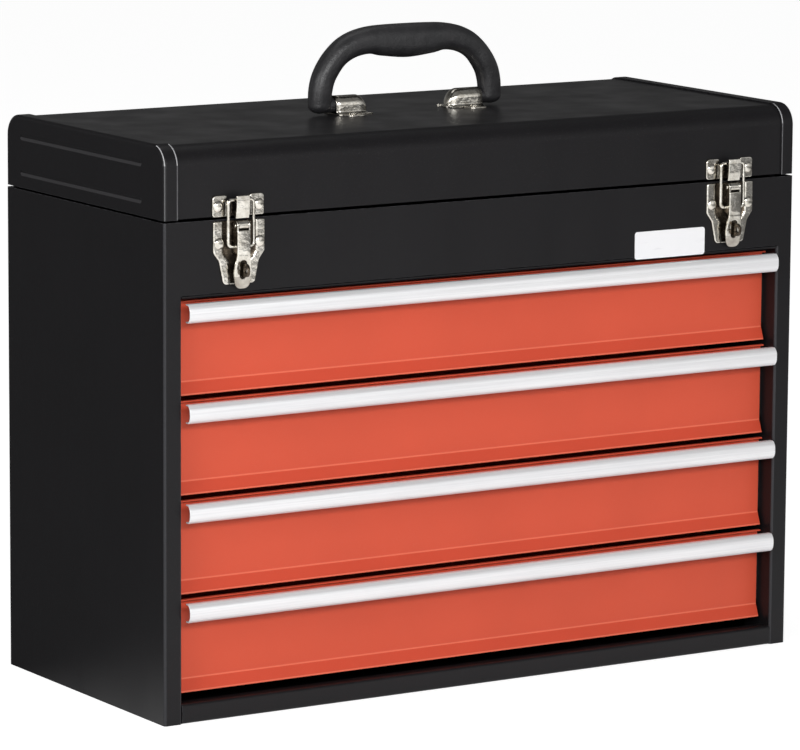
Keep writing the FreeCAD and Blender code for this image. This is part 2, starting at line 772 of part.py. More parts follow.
bracket = new_body("right_handle_bracket")
pad(bracket, "foot", "XY", skin_top, f"{skin_top} + bracket_foot", [
    (saddle_end, f"0 - {foot_half}"),
    (saddle_end, foot_half),
    (f"{tab_x} + {tab_half}", foot_half),
    (f"{tab_x} + {tab_half}", tab_end, "bracket_corner"),
    (f"{tab_x} - {tab_half}", tab_end, "bracket_corner"),
    (f"{tab_x} - {tab_half}", foot_half),
    (dome_x, foot_half),
    (foot_end, "bracket_tab / 2", "bracket_corner"),
    (foot_end, "0 - bracket_tab / 2", "bracket_corner"),
    (dome_x, f"0 - {foot_half}"),
    (f"{tab_x} - {tab_half}", f"0 - {foot_half}"),
    (f"{tab_x} - {tab_half}", f"0 - {tab_end}", "bracket_corner"),
    (f"{tab_x} + {tab_half}", f"0 - {tab_end}", "bracket_corner"),
    (f"{tab_x} + {tab_half}", f"0 - {foot_half}"),
])
pad(bracket, "saddle", "YZ", dome_x, saddle_end, arch_section(saddle_radius, skin_top))
revolve("Revolution", bracket, "dome", "XZ", "0", dome_x, dome_section(saddle_radius, skin_top))
pocket(bracket, "hollow", "YZ", dome_x, f"{saddle_end} + over",
       arch_section(hollow_radius, f"{skin_top} - over"))
revolve("Groove", bracket, "dome_hollow", "XZ", "0", dome_x,
        dome_section(hollow_radius, f"{skin_top} - over"))
mirrored(bracket, "left_handle_bracket")


def both_sides(label, things):
    """One node of loose pieces on the right, and the same on the left."""
    copies = []
    for thing in things:
        copy = doc.addObject("Part::Mirroring", "left_copy")
        copy.Source = thing
        copy.Normal = V(1, 0, 0)
        copies.append(copy)
    return group(label, things + copies)


def front_rivet(x, face, z):
    """A head that stands out of a face towards the front."""
    body = doc.addObject("PartDesign::Body", "rivet")
    revolve("Revolution", body, "head", "XY", z, x, [
        (x, face),
        (f"{x} + rivet_radius", face),
        (f"{x} + rivet_crown", f"{face} - rivet_head"),
        (x, f"{face} - rivet_head"),
    ])
    return body


def top_rivet(x, y):
    body = doc.addObject("PartDesign::Body", "rivet")
    face = f"({skin_top} + bracket_foot)"
    revolve("Revolution", body, "head", "XZ", f"0 - ({y})", x, [
        (x, face),
        (f"{x} + bracket_rivet_radius", face),
        (f"{x} + bracket_rivet_crown", f"{face} + bracket_rivet_head"),
        (x, f"{face} + bracket_rivet_head"),
    ])
    return body


tab_rivet_y = f"({tab_end} - {tab_half})"
both_sides("handle_bracket_rivets", [
    top_rivet(tab_x, tab_rivet_y),
    top_rivet(tab_x, f"0 - {tab_rivet_y}"),
    top_rivet(f"({foot_end} + bracket_tab_reach / 2)", "0"),
])


# Draw latches: a base with a central knuckle, a lever on it, and a wire bail on the lever.
latch_place = f"({half_width} - latch_inset)"
base_top = "(body_height - base_top_drop)"
base_face = f"({front} - latch_sheet)"
pivot_y = f"({front} - lever_reach)"
lever_z = "(body_height - lever_drop)"
latch_half = "(latch_width / 2)"
wire_radius = "(bail_wire / 2)"
wire_y = f"({pivot_y} + bail_toggle)"
bail_z = f"({lever_z} - bail_drop)"
keeper_low = lid_low
keeper_face = f"({skin_front} - latch_sheet)"
shelf_z = f"({keeper_low} + hook_shelf)"
lever_out = f"({front} - lever_face)"
lever_in = f"({lever_out} + latch_sheet)"
bend_z = f"({lever_z} - lever_bend)"
tip_z = f"({lever_z} - lever_tip)"
tip_out = f"({front} - lever_tip_reach)"
tip_in = f"({tip_out} + latch_sheet)"


def at(offset):
    """A place across, counted from the latch's own middle."""
    return f"({latch_place} + ({offset}))"


base = new_body("right_latch_base")
pad(base, "plate", "XZ", base_face, front, [
    (at(f"0 - {latch_half}"), base_top, "latch_sheet"),
    (at(f"0 - {latch_half}"), f"{base_top} - base_shoulder"),
    (at("0 - base_waist_half"), f"{base_top} - base_waist"),
    (at("0 - base_foot_half"), f"{base_top} - base_height", "latch_corner"),
    (at("base_foot_half"), f"{base_top} - base_height", "latch_corner"),
    (at("base_waist_half"), f"{base_top} - base_waist"),
    (at(latch_half), f"{base_top} - base_shoulder"),
    (at(latch_half), base_top, "latch_sheet"),
])
knuckle_half = "(lever_half - latch_sheet - lever_ear_gap)"
pad(base, "strap", "YZ", at(f"0 - {knuckle_half}"), at(knuckle_half),
    box(pivot_y, front, f"{lever_z} + lever_barrel - latch_sheet", f"{lever_z} + lever_barrel"))
pad(base, "knuckle", "YZ", at(f"0 - {knuckle_half}"), at(knuckle_half),
    ("circle", pivot_y, lever_z, "lever_barrel"),
    ("circle", pivot_y, lever_z, "lever_pin_radius + pin_clearance"))
mirrored(base, "left_latch_base")

both_sides("latch_lever_pins", [
    rod("lever_pin", at("0 - lever_half - lever_pin_end"), pivot_y, lever_z,
        "2 * (lever_half + lever_pin_end)", "lever_pin_radius"),
])
both_sides("latch_base_rivets", [
    front_rivet(at(place), base_face, f"{base_top} - rivet_drop")
    for place in ("rivet_place", "0 - rivet_place")
])

staple = new_body("right_padlock_staple")
staple_z = "(body_height - staple_place)"
staple_tip = f"({front} - staple_reach)"
pad(staple, "eye_plate", "YZ", at("0 - staple_thickness / 2"), at("staple_thickness / 2"), [
    (base_face, f"{staple_z} - staple_half"),
    (staple_tip, f"{staple_z} - staple_half", "staple_round"),
    (staple_tip, f"{staple_z} + staple_half", "staple_round"),
    (base_face, f"{staple_z} + staple_half"),
], ("circle", f"{staple_tip} + eye_inset", staple_z, "eye_radius"))
mirrored(staple, "left_padlock_staple")

lever = new_body("right_lever")
slot_high = f"({lever_z} - slot_top - slot_half)"
slot_low = f"({lever_z} - slot_bottom + slot_half)"
bulge_z = f"({lever_z} - lever_bulge_place)"
pad(lever, "tongue", "XZ", lever_out, tip_in, [
    (at("0 - lever_half"), bend_z),
    (at("0 - lever_bulge_half"), bulge_z, "latch_corner"),
    (at("0 - lever_tip_half"), tip_z, "latch_corner"),
    (at("lever_tip_half"), tip_z, "latch_corner"),
    (at("lever_bulge_half"), bulge_z, "latch_corner"),
    (at("lever_half"), bend_z),
])
pocket(lever, "tongue_front", "YZ", at("0 - lever_bulge_half - over"), at("lever_bulge_half + over"), [
    (f"{lever_out} - over", bend_z),
    (lever_out, bend_z),
    (tip_out, tip_z),
    (tip_out, f"{tip_z} - over"),
    (f"{lever_out} - over", f"{tip_z} - over"),
])
pocket(lever, "tongue_back", "YZ", at("0 - lever_bulge_half - over"), at("lever_bulge_half + over"), [
    (lever_in, bend_z),
    (f"{tip_in} + over", bend_z),
    (f"{tip_in} + over", tip_z),
    (tip_in, tip_z),
])
pocket(lever, "slot", "XZ", f"{lever_out} - over", f"{tip_in} + over", [
    (at("0 - slot_half"), slot_high),
    (at("0 - slot_half"), slot_low),
    ("half", "slot_half"),
    (at("slot_half"), slot_low),
    (at("slot_half"), slot_high),
    ("half", "slot_half"),
])
pad(lever, "web", "XZ", lever_out, lever_in,
    box(at("0 - lever_half"), at("lever_half"), bend_z, f"{lever_z} - lever_web_drop"))
for name, start, end in (("right_ear", "lever_half - latch_sheet", "lever_half"),
                         ("left_ear", "0 - lever_half", "0 - lever_half + latch_sheet")):
    pad(lever, name, "YZ", at(start), at(end), [
        (lever_out, bend_z),
        (lever_in, bend_z),
        (f"{pivot_y} + lever_ear", f"{bail_z} - lever_ear"),
        (f"{pivot_y} + lever_ear", f"{lever_z} + lever_ear", "lever_ear_round"),
        (lever_out, f"{lever_z} + lever_ear", "lever_ear_round"),
    ], ("circle", pivot_y, lever_z, "lever_pin_radius + pin_clearance"),
        ("circle", wire_y, bail_z, f"{wire_radius} + pin_clearance"))
mirrored(lever, "left_lever")

bail = new_body("right_bail")
cross_z = f"({shelf_z} + {wire_radius} + bail_seat)"
route = sketch_on(bail, "route", "XZ", f"0 - {wire_y}", [])
outline(route, [
    (at("0 - bail_reach"), bail_z),
    (at("0 - bail_half"), bail_z, "bail_bend"),
    (at("0 - bail_half"), cross_z, "bail_bend"),
    (at("bail_half"), cross_z, "bail_bend"),
    (at("bail_half"), bail_z, "bail_bend"),
    (at("bail_reach"), bail_z),
], closed=False)
section = sketch_on(bail, "section", "YZ", at("0 - bail_reach"),
                    [("circle", wire_y, bail_z, wire_radius)])
wire = bail.newObject("PartDesign::AdditivePipe", "wire")
wire.Profile = section
wire.Spine = route
doc.recompute()
mirrored(bail, "left_bail")

keeper = new_body("right_keeper")
keeper_top = f"({keeper_low} + keeper_height)"
bridge_top = f"({keeper_low} + keeper_bridge)"
pad_inner = "(hook_half + keeper_notch)"
pad(keeper, "plate", "XZ", keeper_face, skin_front, [
    (at(f"0 - {latch_half}"), keeper_low, "latch_sheet"),
    (at(latch_half), keeper_low, "latch_sheet"),
    (at(latch_half), keeper_top, "latch_corner"),
    (at(pad_inner), keeper_top, "latch_sheet"),
    (at(pad_inner), bridge_top),
    (at("hook_half"), bridge_top),
    (at("hook_half"), shelf_z),
    (at("0 - hook_half"), shelf_z),
    (at("0 - hook_half"), bridge_top),
    (at(f"0 - {pad_inner}"), bridge_top),
    (at(f"0 - {pad_inner}"), keeper_top, "latch_sheet"),
    (at(f"0 - {latch_half}"), keeper_top, "latch_corner"),
])
lip_out = f"({front} - hook_reach)"
lip_foot = f"({front} - hook_foot_reach)"
pad(keeper, "hook", "YZ", at("0 - hook_half"), at("hook_half"), [
    (keeper_face, shelf_z),
    (f"{lip_out} + latch_sheet", shelf_z),
    (f"{lip_out} + latch_sheet", f"{keeper_low} + hook_top"),
    (lip_out, f"{keeper_low} + hook_top"),
    (lip_foot, f"{keeper_low} - hook_skirt"),
    (f"{lip_foot} + latch_sheet", f"{keeper_low} - hook_skirt"),
    (f"{lip_out} + 3 / 2 * latch_sheet", f"{shelf_z} - latch_sheet"),
    (keeper_face, f"{shelf_z} - latch_sheet"),
])
mirrored(keeper, "left_keeper")
both_sides("keeper_rivets", [
    front_rivet(at(place), keeper_face, f"{keeper_low} + keeper_rivet")
    for place in ("rivet_place", "0 - rivet_place")
])


doc.recompute()
for thing in doc.Objects:
    if "Invalid" in thing.State or "Error" in thing.State:
        raise RuntimeError(thing.Label + " did not rebuild")
os.makedirs("parts", exist_ok=True)
for thing in NODES:
    if thing.Shape.isNull() or not thing.Shape.isValid() or not thing.Shape.Solids:
        raise RuntimeError(thing.Label + " has no sound shape")
    thing.Shape.exportStep("parts/" + thing.Label + ".step")
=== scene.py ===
import json
import math

import bmesh
import bpy
from mathutils import Matrix, Vector, geometry

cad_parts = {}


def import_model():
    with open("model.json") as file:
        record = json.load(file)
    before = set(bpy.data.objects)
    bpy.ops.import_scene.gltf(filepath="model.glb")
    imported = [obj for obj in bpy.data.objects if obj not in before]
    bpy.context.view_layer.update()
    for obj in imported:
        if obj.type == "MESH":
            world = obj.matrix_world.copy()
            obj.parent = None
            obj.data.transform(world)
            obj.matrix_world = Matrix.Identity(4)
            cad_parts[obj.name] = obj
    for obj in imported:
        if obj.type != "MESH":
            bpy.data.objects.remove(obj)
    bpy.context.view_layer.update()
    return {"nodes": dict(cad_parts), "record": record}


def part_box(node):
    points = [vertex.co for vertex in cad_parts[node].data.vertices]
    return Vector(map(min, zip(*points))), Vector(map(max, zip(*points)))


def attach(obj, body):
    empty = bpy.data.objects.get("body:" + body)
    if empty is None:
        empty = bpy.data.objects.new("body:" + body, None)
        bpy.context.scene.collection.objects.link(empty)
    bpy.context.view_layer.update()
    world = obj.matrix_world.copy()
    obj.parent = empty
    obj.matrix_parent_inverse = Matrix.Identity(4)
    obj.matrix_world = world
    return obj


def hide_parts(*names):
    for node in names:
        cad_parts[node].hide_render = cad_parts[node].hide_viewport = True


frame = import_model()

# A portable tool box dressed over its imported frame. Sizes are millimetres until a piece is made.
MM = 0.001
X_AXIS, Z_AXIS = (1, 0, 0), (0, 0, 1)
SHEET = 1.0


# Colours and node trees

def srgb(red, green, blue):
    """A colour as a screen shows it, 0 to 255, in the linear values that nodes take."""
    def linear(level):
        share = level / 255
        return share / 12.92 if share < 0.04045 else ((share + 0.055) / 1.055) ** 2.4
    return (linear(red), linear(green), linear(blue), 1.0)


class Nodes:
    """A node tree, with short ways to add nodes and join them."""

    def __init__(self, tree):
        self.tree = tree

    def node(self, kind, inputs=None, **settings):
        made = self.tree.nodes.new(kind)
        for setting, value in settings.items():
            setattr(made, setting, value)
        for socket, value in (inputs or {}).items():
            self.plug(made.inputs[socket], value)
        return made

    def plug(self, socket, value):
        if isinstance(value, bpy.types.NodeSocket):
            self.tree.links.new(value, socket)
        else:
            socket.default_value = value

    def ramp(self, value, start, end, low=0.0, high=1.0):
        """The value taken from start..end to low..high, and held at both ends."""
        return self.node("ShaderNodeMapRange", {
            "Value": value, "From Min": start, "From Max": end, "To Min": low, "To Max": high,
        }).outputs["Result"]

    def math(self, operation, first, second=0.0):
        return self.node("ShaderNodeMath", {0: first, 1: second}, operation=operation).outputs[0]


class Finish(Nodes):
    """A material's nodes, with short ways to add what the finishes share."""

    def __init__(self, name, **sockets):
        self.material = bpy.data.materials.new(name)
        self.material.use_nodes = True
        super().__init__(self.material.node_tree)
        self.shader = self.tree.nodes["Principled BSDF"]
        self.place = self.node("ShaderNodeTexCoord").outputs["Object"]
        for socket, value in sockets.items():
            self.set(socket.replace("_", " "), value)

    def set(self, socket, value):
        self.plug(self.shader.inputs[socket], value)

    def noise(self, scale, detail=2.0, stretch=(1, 1, 1), roughness=0.5):
        """Smooth noise in the part's own metres, 0 to 1, longer along an axis with a small stretch."""
        place = self.node("ShaderNodeMapping", {"Vector": self.place, "Scale": stretch}).outputs[0]
        return self.node("ShaderNodeTexNoise", {
            "Vector": place, "Scale": scale, "Detail": detail, "Roughness": roughness,
        }).outputs["Fac"]

    def mix(self, share, first, second):
        return self.node("ShaderNodeMix", {0: share, 6: first, 7: second}, data_type="RGBA").outputs[2]

    def bump(self, height, distance, normal=None):
        inputs = {"Height": height, "Distance": distance}
        if normal is not None:
            inputs["Normal"] = normal
        return self.node("ShaderNodeBump", inputs).outputs["Normal"]

    def soft_edges(self, radius):
        """Normals that round the sharp edges."""
        return self.node("ShaderNodeBevel", {"Radius": radius}, samples=4).outputs["Normal"]

    def near_edge(self, rounded_normal):
        """How near a sharp edge is, 0 to 1, from the normals that round it."""
        flat_normal = self.node("ShaderNodeNewGeometry").outputs["Normal"]
        same = self.node("ShaderNodeVectorMath", {0: rounded_normal, 1: flat_normal},
                         operation="DOT_PRODUCT").outputs["Value"]
        return self.ramp(same, 0.985, 0.80)

    def crevices(self, distance):
        """How hidden a place is, 0 in the open to 1 deep in a corner."""
        open_share = self.node("ShaderNodeAmbientOcclusion", {"Distance": distance}, samples=6).outputs["AO"]
        return self.ramp(open_share, 0.75, 0.2)


# In finishes, the radii of rounded edges and the distances of bumps are in metres.
PAINT_EDGE = 0.0007
METAL_EDGE = 0.0004
CREVICE = 0.010
DUST = (0.5, 0.5, 0.5, 1)
STRIP_SHADOW = srgb(66, 60, 60)
# Painted shade for the plating's corners and hollows.
PAINTED_CREVICE_SHADE = srgb(44, 38, 32)


def paint(name, colour, worn_and_highlight, roughness, specular):
    """Baked enamel: fine peel, faint clouds, a little dust, and edges where the coat is thin, lighter on the
    blacks partly as painted highlight.
    """
    coat = Finish(name, Specular_IOR_Level=specular)
    normal = coat.soft_edges(PAINT_EDGE)
    cloud = coat.noise(14.0, 4.0)
    speck = coat.noise(2600.0, 1.0)
    darker = [c * 0.72 for c in colour[:3]] + [1]
    shade = coat.mix(coat.ramp(cloud, 0.35, 0.7, 0.0, 0.22), colour, darker)
    shade = coat.mix(coat.ramp(speck, 0.68, 0.76, 0.0, 0.10), shade, DUST)
    rubbed = coat.ramp(coat.noise(220.0, 3.0), 0.38, 0.62)
    # The edges take the worn colour: partly wear where the coat is thin, partly painted highlight.
    edge_wear_and_highlight = coat.math("MULTIPLY", coat.near_edge(normal), rubbed)
    shade = coat.mix(coat.math("MULTIPLY", edge_wear_and_highlight, 0.55), shade, worn_and_highlight)
    coat.set("Base Color", shade)
    wipe = coat.noise(30.0, 5.0, (1.0, 1.0, 0.25))
    coat.set("Roughness", coat.ramp(wipe, 0.3, 0.7, roughness - 0.05, roughness + 0.06))
    dents = coat.bump(coat.noise(7.0, 1.0), 0.0009, normal)
    coat.set("Normal", coat.bump(coat.noise(750.0, 2.0), 0.000035, dents))
    return coat.material


def brushed_aluminium():
    """Long drawn lines along the strip, with duller stretches where hands go."""
    metal = Finish("brushed_aluminium", Metallic=0.45, Anisotropic=0.4)
    normal = metal.soft_edges(METAL_EDGE)
    lines = metal.noise(70.0, 8.0, (0.12, 28.0, 28.0), 0.75)
    broad = metal.noise(16.0, 3.0, (0.5, 3.0, 3.0))
    shade = metal.mix(metal.ramp(lines, 0.3, 0.7), srgb(226, 226, 228), srgb(250, 250, 251))
    shade = metal.mix(metal.ramp(broad, 0.45, 0.75, 0.0, 0.18), shade, srgb(190, 190, 196))
    shade = metal.mix(metal.crevices(0.6 * CREVICE), shade, STRIP_SHADOW)
    metal.set("Base Color", shade)
    metal.set("Roughness", metal.ramp(metal.math("ADD", lines, broad), 0.6, 1.4, 0.34, 0.48))
    metal.set("Normal", metal.bump(lines, 0.00003, normal))
    return metal.material


def nickel_plate(name="nickel_plate", grain=0.0, bright=srgb(232, 228, 219), dull=srgb(196, 190, 178)):
    """Bright plating with a soft roll to it, with painted shade in the corners, gritty where grain is more
    than 0.
    """
    metal = Finish(name, Metallic=1.0)
    normal = metal.soft_edges(METAL_EDGE)
    patches = metal.ramp(metal.noise(500.0, 4.0), 0.2, 0.5, 0.5, 1.0)
    # Painted shade: corners and hollows darkened in patches.
    crevice_shade = metal.math("MULTIPLY", metal.crevices(CREVICE), patches)
    tone = metal.noise(160.0, 3.0)
    shade = metal.mix(metal.ramp(tone, 0.35, 0.7), bright, dull)
    shade = metal.mix(metal.math("MULTIPLY", crevice_shade, 0.92), shade, PAINTED_CREVICE_SHADE)
    metal.set("Base Color", shade)
    metal.set("Roughness", metal.ramp(metal.noise(320.0, 4.0), 0.3, 0.7, 0.10 + grain / 4, 0.18 + grain / 3))
    rolled = metal.bump(metal.noise(330.0, 2.0), 0.00022, normal)
    metal.set("Normal", metal.bump(metal.noise(2600.0, 3.0), 0.00002 + grain * 0.0003, rolled))
    return metal.material


def zinc_steel():
    """Galvanised sheet with faint spangle and slide marks along the run."""
    metal = Finish("zinc_steel", Metallic=1.0)
    normal = metal.soft_edges(METAL_EDGE)
    spangle = metal.node("ShaderNodeTexVoronoi", {"Vector": metal.place, "Scale": 260.0}).outputs["Color"]
    level = metal.node("ShaderNodeSeparateColor", {"Color": spangle}).outputs[0]
    marks = metal.noise(90.0, 5.0, (12.0, 0.2, 12.0))
    shade = metal.mix(level, srgb(176, 178, 182), srgb(198, 200, 203))
    shade = metal.mix(metal.ramp(marks, 0.5, 0.75, 0.0, 0.35), shade, srgb(130, 131, 134))
    metal.set("Base Color", shade)
    metal.set("Roughness", metal.ramp(marks, 0.3, 0.7, 0.30, 0.46))
    metal.set("Normal", metal.bump(marks, 0.00002, normal))
    return metal.material


def grip_plastic():
    """Moulded grip: fine leathery grain, a parting line down the middle, and palms' polish."""
    plastic = Finish("grip_plastic", Specular_IOR_Level=0.52)
    cells = plastic.node("ShaderNodeTexVoronoi", {"Vector": plastic.place, "Scale": 900.0},
                         feature="SMOOTH_F1").outputs["Distance"]
    across = plastic.node("ShaderNodeSeparateXYZ", {"Vector": plastic.place}).outputs["Y"]
    seam = plastic.ramp(plastic.math("ABSOLUTE", across), 0.00015, 0.00045, 1.0, 0.0)
    cloud = plastic.noise(60.0, 4.0)
    shade = plastic.mix(plastic.ramp(cloud, 0.35, 0.7), srgb(30, 30, 32), srgb(40, 39, 41))
    shade = plastic.mix(plastic.ramp(plastic.noise(1500.0, 2.0), 0.62, 0.75, 0.0, 0.25), shade,
                        srgb(96, 95, 96))
    plastic.set("Base Color", shade)
    plastic.set("Roughness", plastic.ramp(cloud, 0.3, 0.7, 0.38, 0.50))
    grain = plastic.bump(cells, 0.00012)
    wobble = plastic.bump(plastic.noise(120.0, 2.0), 0.0006, grain)
    plastic.set("Normal", plastic.bump(seam, 0.00015, wobble))
    return plastic.material


def label_film():
    """A blank white sticker: slightly wavy film with a few rubbed marks."""
    film = Finish("label_film", Specular_IOR_Level=0.5)
    rubs = film.noise(150.0, 5.0, (0.3, 1.0, 2.0))
    film.set("Base Color", film.mix(film.ramp(rubs, 0.6, 0.8), srgb(246, 246, 248), srgb(222, 222, 226)))
    film.set("Roughness", film.ramp(rubs, 0.3, 0.7, 0.30, 0.42))
    film.set("Normal", film.bump(film.noise(80.0, 2.0), 0.0002))
    return film.material


# Name, colour, worn edge colour (on the blacks also painted highlight), roughness, specular level.
BLACK = paint("black_paint", srgb(22, 21, 23), srgb(112, 112, 116), 0.38, 0.21)
# A lighter black as painted highlight along the case's front bends.
BLACK_BEND_HIGHLIGHT = paint("black_paint_bend", srgb(46, 46, 49), srgb(120, 120, 124), 0.36, 0.26)
# Lighter blacks as painted highlights on the lid caps' front edges and bends.
BLACK_EDGE_HIGHLIGHT = paint("black_paint_edge_highlight", srgb(88, 88, 90), srgb(170, 170, 174), 0.30, 0.50)
BLACK_GLINT = paint("black_paint_glint", srgb(168, 168, 170), srgb(190, 190, 194), 0.30, 0.50)
# A lighter black as painted highlight on the caps' grooves.
BLACK_GROOVE_HIGHLIGHT = paint("black_paint_groove_highlight", srgb(49, 48, 50), srgb(112, 112, 116), 0.38, 0.26)
RED = paint("red_paint", srgb(219, 88, 62), srgb(150, 34, 20), 0.46, 0.30)
# A lighter red as painted highlight along the crease and the lip's lower edge.
RED_LINE_HIGHLIGHT = paint("red_paint_line_highlight", srgb(234, 110, 82), srgb(170, 50, 30), 0.42, 0.40)
# A darker red as painted shade on the drawers' lips and on the nose tops.
RED_SHADED = paint("red_paint_shaded", srgb(209, 77, 52), srgb(150, 34, 20), 0.46, 0.25)
ALUMINIUM = brushed_aluminium()
NICKEL = nickel_plate()
NICKEL_GRIT = nickel_plate("nickel_grit", 1.0, srgb(206, 200, 190), srgb(166, 158, 148))
# A darker plating that stands in for painted shade in the latches' channels, behind the hooks and on the
# staples.
NICKEL_PAINTED_SHADE = nickel_plate("nickel_painted_shade", 0.5, srgb(104, 94, 82), srgb(46, 40, 34))
ZINC = zinc_steel()
GRIP = grip_plastic()
LABEL = label_film()
SLOT_FINISHES = {
    "black_paint": BLACK, "red_paint": RED, "brushed_aluminium": ALUMINIUM,
    "nickel_plate": NICKEL, "zinc_steel": ZINC, "grip_plastic": GRIP,
}


# Lines in two dimensions

def rounded(corners, steps=5, closed=True):
    """A line through corners (x, y) or (x, y, radius), with each radius as an arc."""
    line = []
    count = len(corners)
    for i, corner in enumerate(corners):
        here = Vector(corner[:2])
        if len(corner) == 2 or (not closed and i in (0, count - 1)):
            line.append(here)
            continue
        back = (Vector(corners[i - 1][:2]) - here).normalized()
        ahead = (Vector(corners[(i + 1) % count][:2]) - here).normalized()
        half = back.angle(ahead) / 2
        centre = here + (back + ahead).normalized() * (corner[2] / math.sin(half))
        first = here + back * (corner[2] / math.tan(half)) - centre
        last = here + ahead * (corner[2] / math.tan(half)) - centre
        turn = math.atan2(first.x * last.y - first.y * last.x, first.dot(last))
        for k in range(steps + 1):
            line.append(centre + Matrix.Rotation(turn * k / steps, 2) @ first)
    return line


def arc(centre, radius, start, end, steps=16):
    """Points on a circle between two angles in degrees."""
    angles = [math.radians(start + (end - start) * k / steps) for k in range(steps + 1)]
    return [Vector(centre) + Vector((math.cos(a), math.sin(a))) * radius for a in angles]


def inset(line, depth, closed=True):
    """The line moved to its own left."""
    moved = []
    count = len(line)
    for i, here in enumerate(line):
        before = line[i - 1] if closed or i else here * 2 - line[1]
        after = line[(i + 1) % count] if closed or i < count - 1 else here * 2 - line[i - 1]
        sides = [Vector((before.y - here.y, here.x - before.x)).normalized(),
                 Vector((here.y - after.y, after.x - here.x)).normalized()]
        both = sides[0] + sides[1]
        moved.append(here + both * (depth * 2 / max(both.length_squared, 0.5)))
    return moved


def folded(line, thickness):
    """A folded sheet's section, from its outer line and its thickness to the line's left."""
    return line + list(reversed(inset(line, thickness, closed=False)))


def mirrored(corners):
    """The corners (x, y, ...) and then the same on the other side of x = 0, in reverse."""
    return corners + [(-corner[0],) + corner[1:] for corner in reversed(corners)]


def oblong(left, right, low, high, radius=0.0):
    """A rectangle's outline, with square or round corners."""
    corners = [(left, low), (right, low), (right, high), (left, high)]
    return rounded([corner + (radius,) for corner in corners] if radius else corners)


def along_x(p, q, along):
    """Where an extrusion's profile (p, q) goes when it is drawn out along x."""
    return (along, p, q)


def quarter(steps):
    """Angles from 0 to a right angle."""
    return [math.pi / 2 * k / steps for k in range(steps + 1)]


def rounding(edge, steps=3):
    """Pairs of inset and depth that turn a square edge into a quarter round."""
    return [(edge * (1 - math.sin(a)), edge * (1 - math.cos(a))) for a in quarter(steps)]


# Solids made from lines

def placed(name, data):
    """A new object in the scene."""
    made = bpy.data.objects.new(name, data)
    bpy.context.scene.collection.objects.link(made)
    return made


class Shape:
    """Points and faces gathered in millimetres before they become one piece."""

    def __init__(self):
        self.points = []
        self.faces = []

    def row(self, points):
        start = len(self.points)
        self.points += [Vector(p) for p in points]
        return list(range(start, len(self.points)))

    def bridge(self, first, second, closed=True):
        count = len(first)
        for i in range(count if closed else count - 1):
            j = (i + 1) % count
            self.faces.append((first[i], first[j], second[j], second[i]))

    def fill(self, loops, rows):
        """A flat face with holes: the loops in two dimensions, and the rows of the same points."""
        order = [i for row in rows for i in row]
        for triangle in geometry.tessellate_polygon([[p.to_3d() for p in loop] for loop in loops]):
            self.faces.append(tuple(order[i] for i in triangle))

    def loft(self, rows, closed=True, capped=True):
        """A skin through rows of points, closed round each row and capped at both ends."""
        made = [self.row(points) for points in rows]
        for first, second in zip(made, made[1:]):
            self.bridge(first, second, closed)
        if capped:
            self.faces += [tuple(made[0]), tuple(reversed(made[-1]))]
        return made

    def plate(self, outer, thickness, edge, place, holes=()):
        """A flat sheet whose front edges are rounded. place turns (u, v, depth) into a point."""
        fronts, backs = [], []
        for loop, side in [(outer, 1)] + [(hole, -1) for hole in holes]:
            rows = [[place(p.x, p.y, depth) for p in inset(loop, side * away)]
                    for away, depth in rounding(edge)]
            rows.append([place(p.x, p.y, thickness) for p in loop])
            made = self.loft(rows, capped=False)
            fronts.append((inset(loop, side * edge), made[0]))
            backs.append((loop, made[-1]))
        self.fill(*zip(*fronts))
        self.fill(*zip(*backs))

    def extrusion(self, profile, start, end, edge, place):
        """A profile drawn out between two places, with softened ends. place turns (p, q, along)."""
        steps = [(away, start + depth) for away, depth in rounding(edge)]
        steps += [(away, end - depth) for away, depth in reversed(rounding(edge))]
        rows = [[place(p.x, p.y, along) for p in inset(profile, away)] for away, along in steps]
        made = self.loft(rows, capped=False)
        self.fill([inset(profile, edge)], [made[0]])
        self.fill([inset(profile, edge)], [made[-1]])

    def tube(self, path, normal, radius, sides=20):
        """A round wire along a path that lies in the plane across its normal."""
        rows = []
        last = len(path) - 1
        for i, here in enumerate(path):
            along = (path[min(i + 1, last)] - path[max(i - 1, 0)]).normalized()
            across = along.cross(normal)
            turns = [2 * math.pi * k / sides for k in range(sides)]
            rows.append([here + (normal * math.cos(t) + across * math.sin(t)) * radius for t in turns])
        self.loft(rows)

    def head(self, centre, axis, radius, height, sides=28, steps=9):
        """A rivet's domed head on a face, out along its axis."""
        axis = Vector(axis)
        across = axis.orthogonal().normalized()
        beside = axis.cross(across)
        rows = []
        for a in quarter(steps):
            wide = max(radius * math.cos(a) ** 0.9, radius * 0.04)
            up = height * math.sin(a)
            turns = [2 * math.pi * j / sides for j in range(sides)]
            rows.append([Vector(centre) + axis * up + (across * math.cos(t) + beside * math.sin(t)) * wide
                         for t in turns])
        self.loft(rows)

    def piece(self, name, finish, body, replaces=(), cuts=(), shaped=None, angle=32.0):
        """The finished piece: cut across at (axis, place) planes, then shaped, in metres."""
        mesh = bpy.data.meshes.new(name)
        mesh.from_pydata([tuple(p) for p in self.points], [], self.faces)
        work = bmesh.new()
        work.from_mesh(mesh)
        for axis, place in cuts:
            bmesh.ops.bisect_plane(
                work, geom=work.verts[:] + work.edges[:] + work.faces[:], dist=1e-6,
                plane_co=Vector(axis) * place, plane_no=axis)
        for vert in work.verts:
            vert.co = (shaped(vert.co) if shaped else vert.co) * MM
        bmesh.ops.recalc_face_normals(work, faces=work.faces[:])
        work.to_mesh(mesh)
        work.free()
        mesh.polygons.foreach_set("use_smooth", [True] * len(mesh.polygons))
        mesh.set_sharp_from_angle(angle=math.radians(angle))
        made = placed(name, mesh)
        made.modifiers.new("even_shading", "WEIGHTED_NORMAL").keep_sharp = True
        mesh.materials.append(finish)
        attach(made, body)
        if replaces:
            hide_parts(*replaces)
        return made


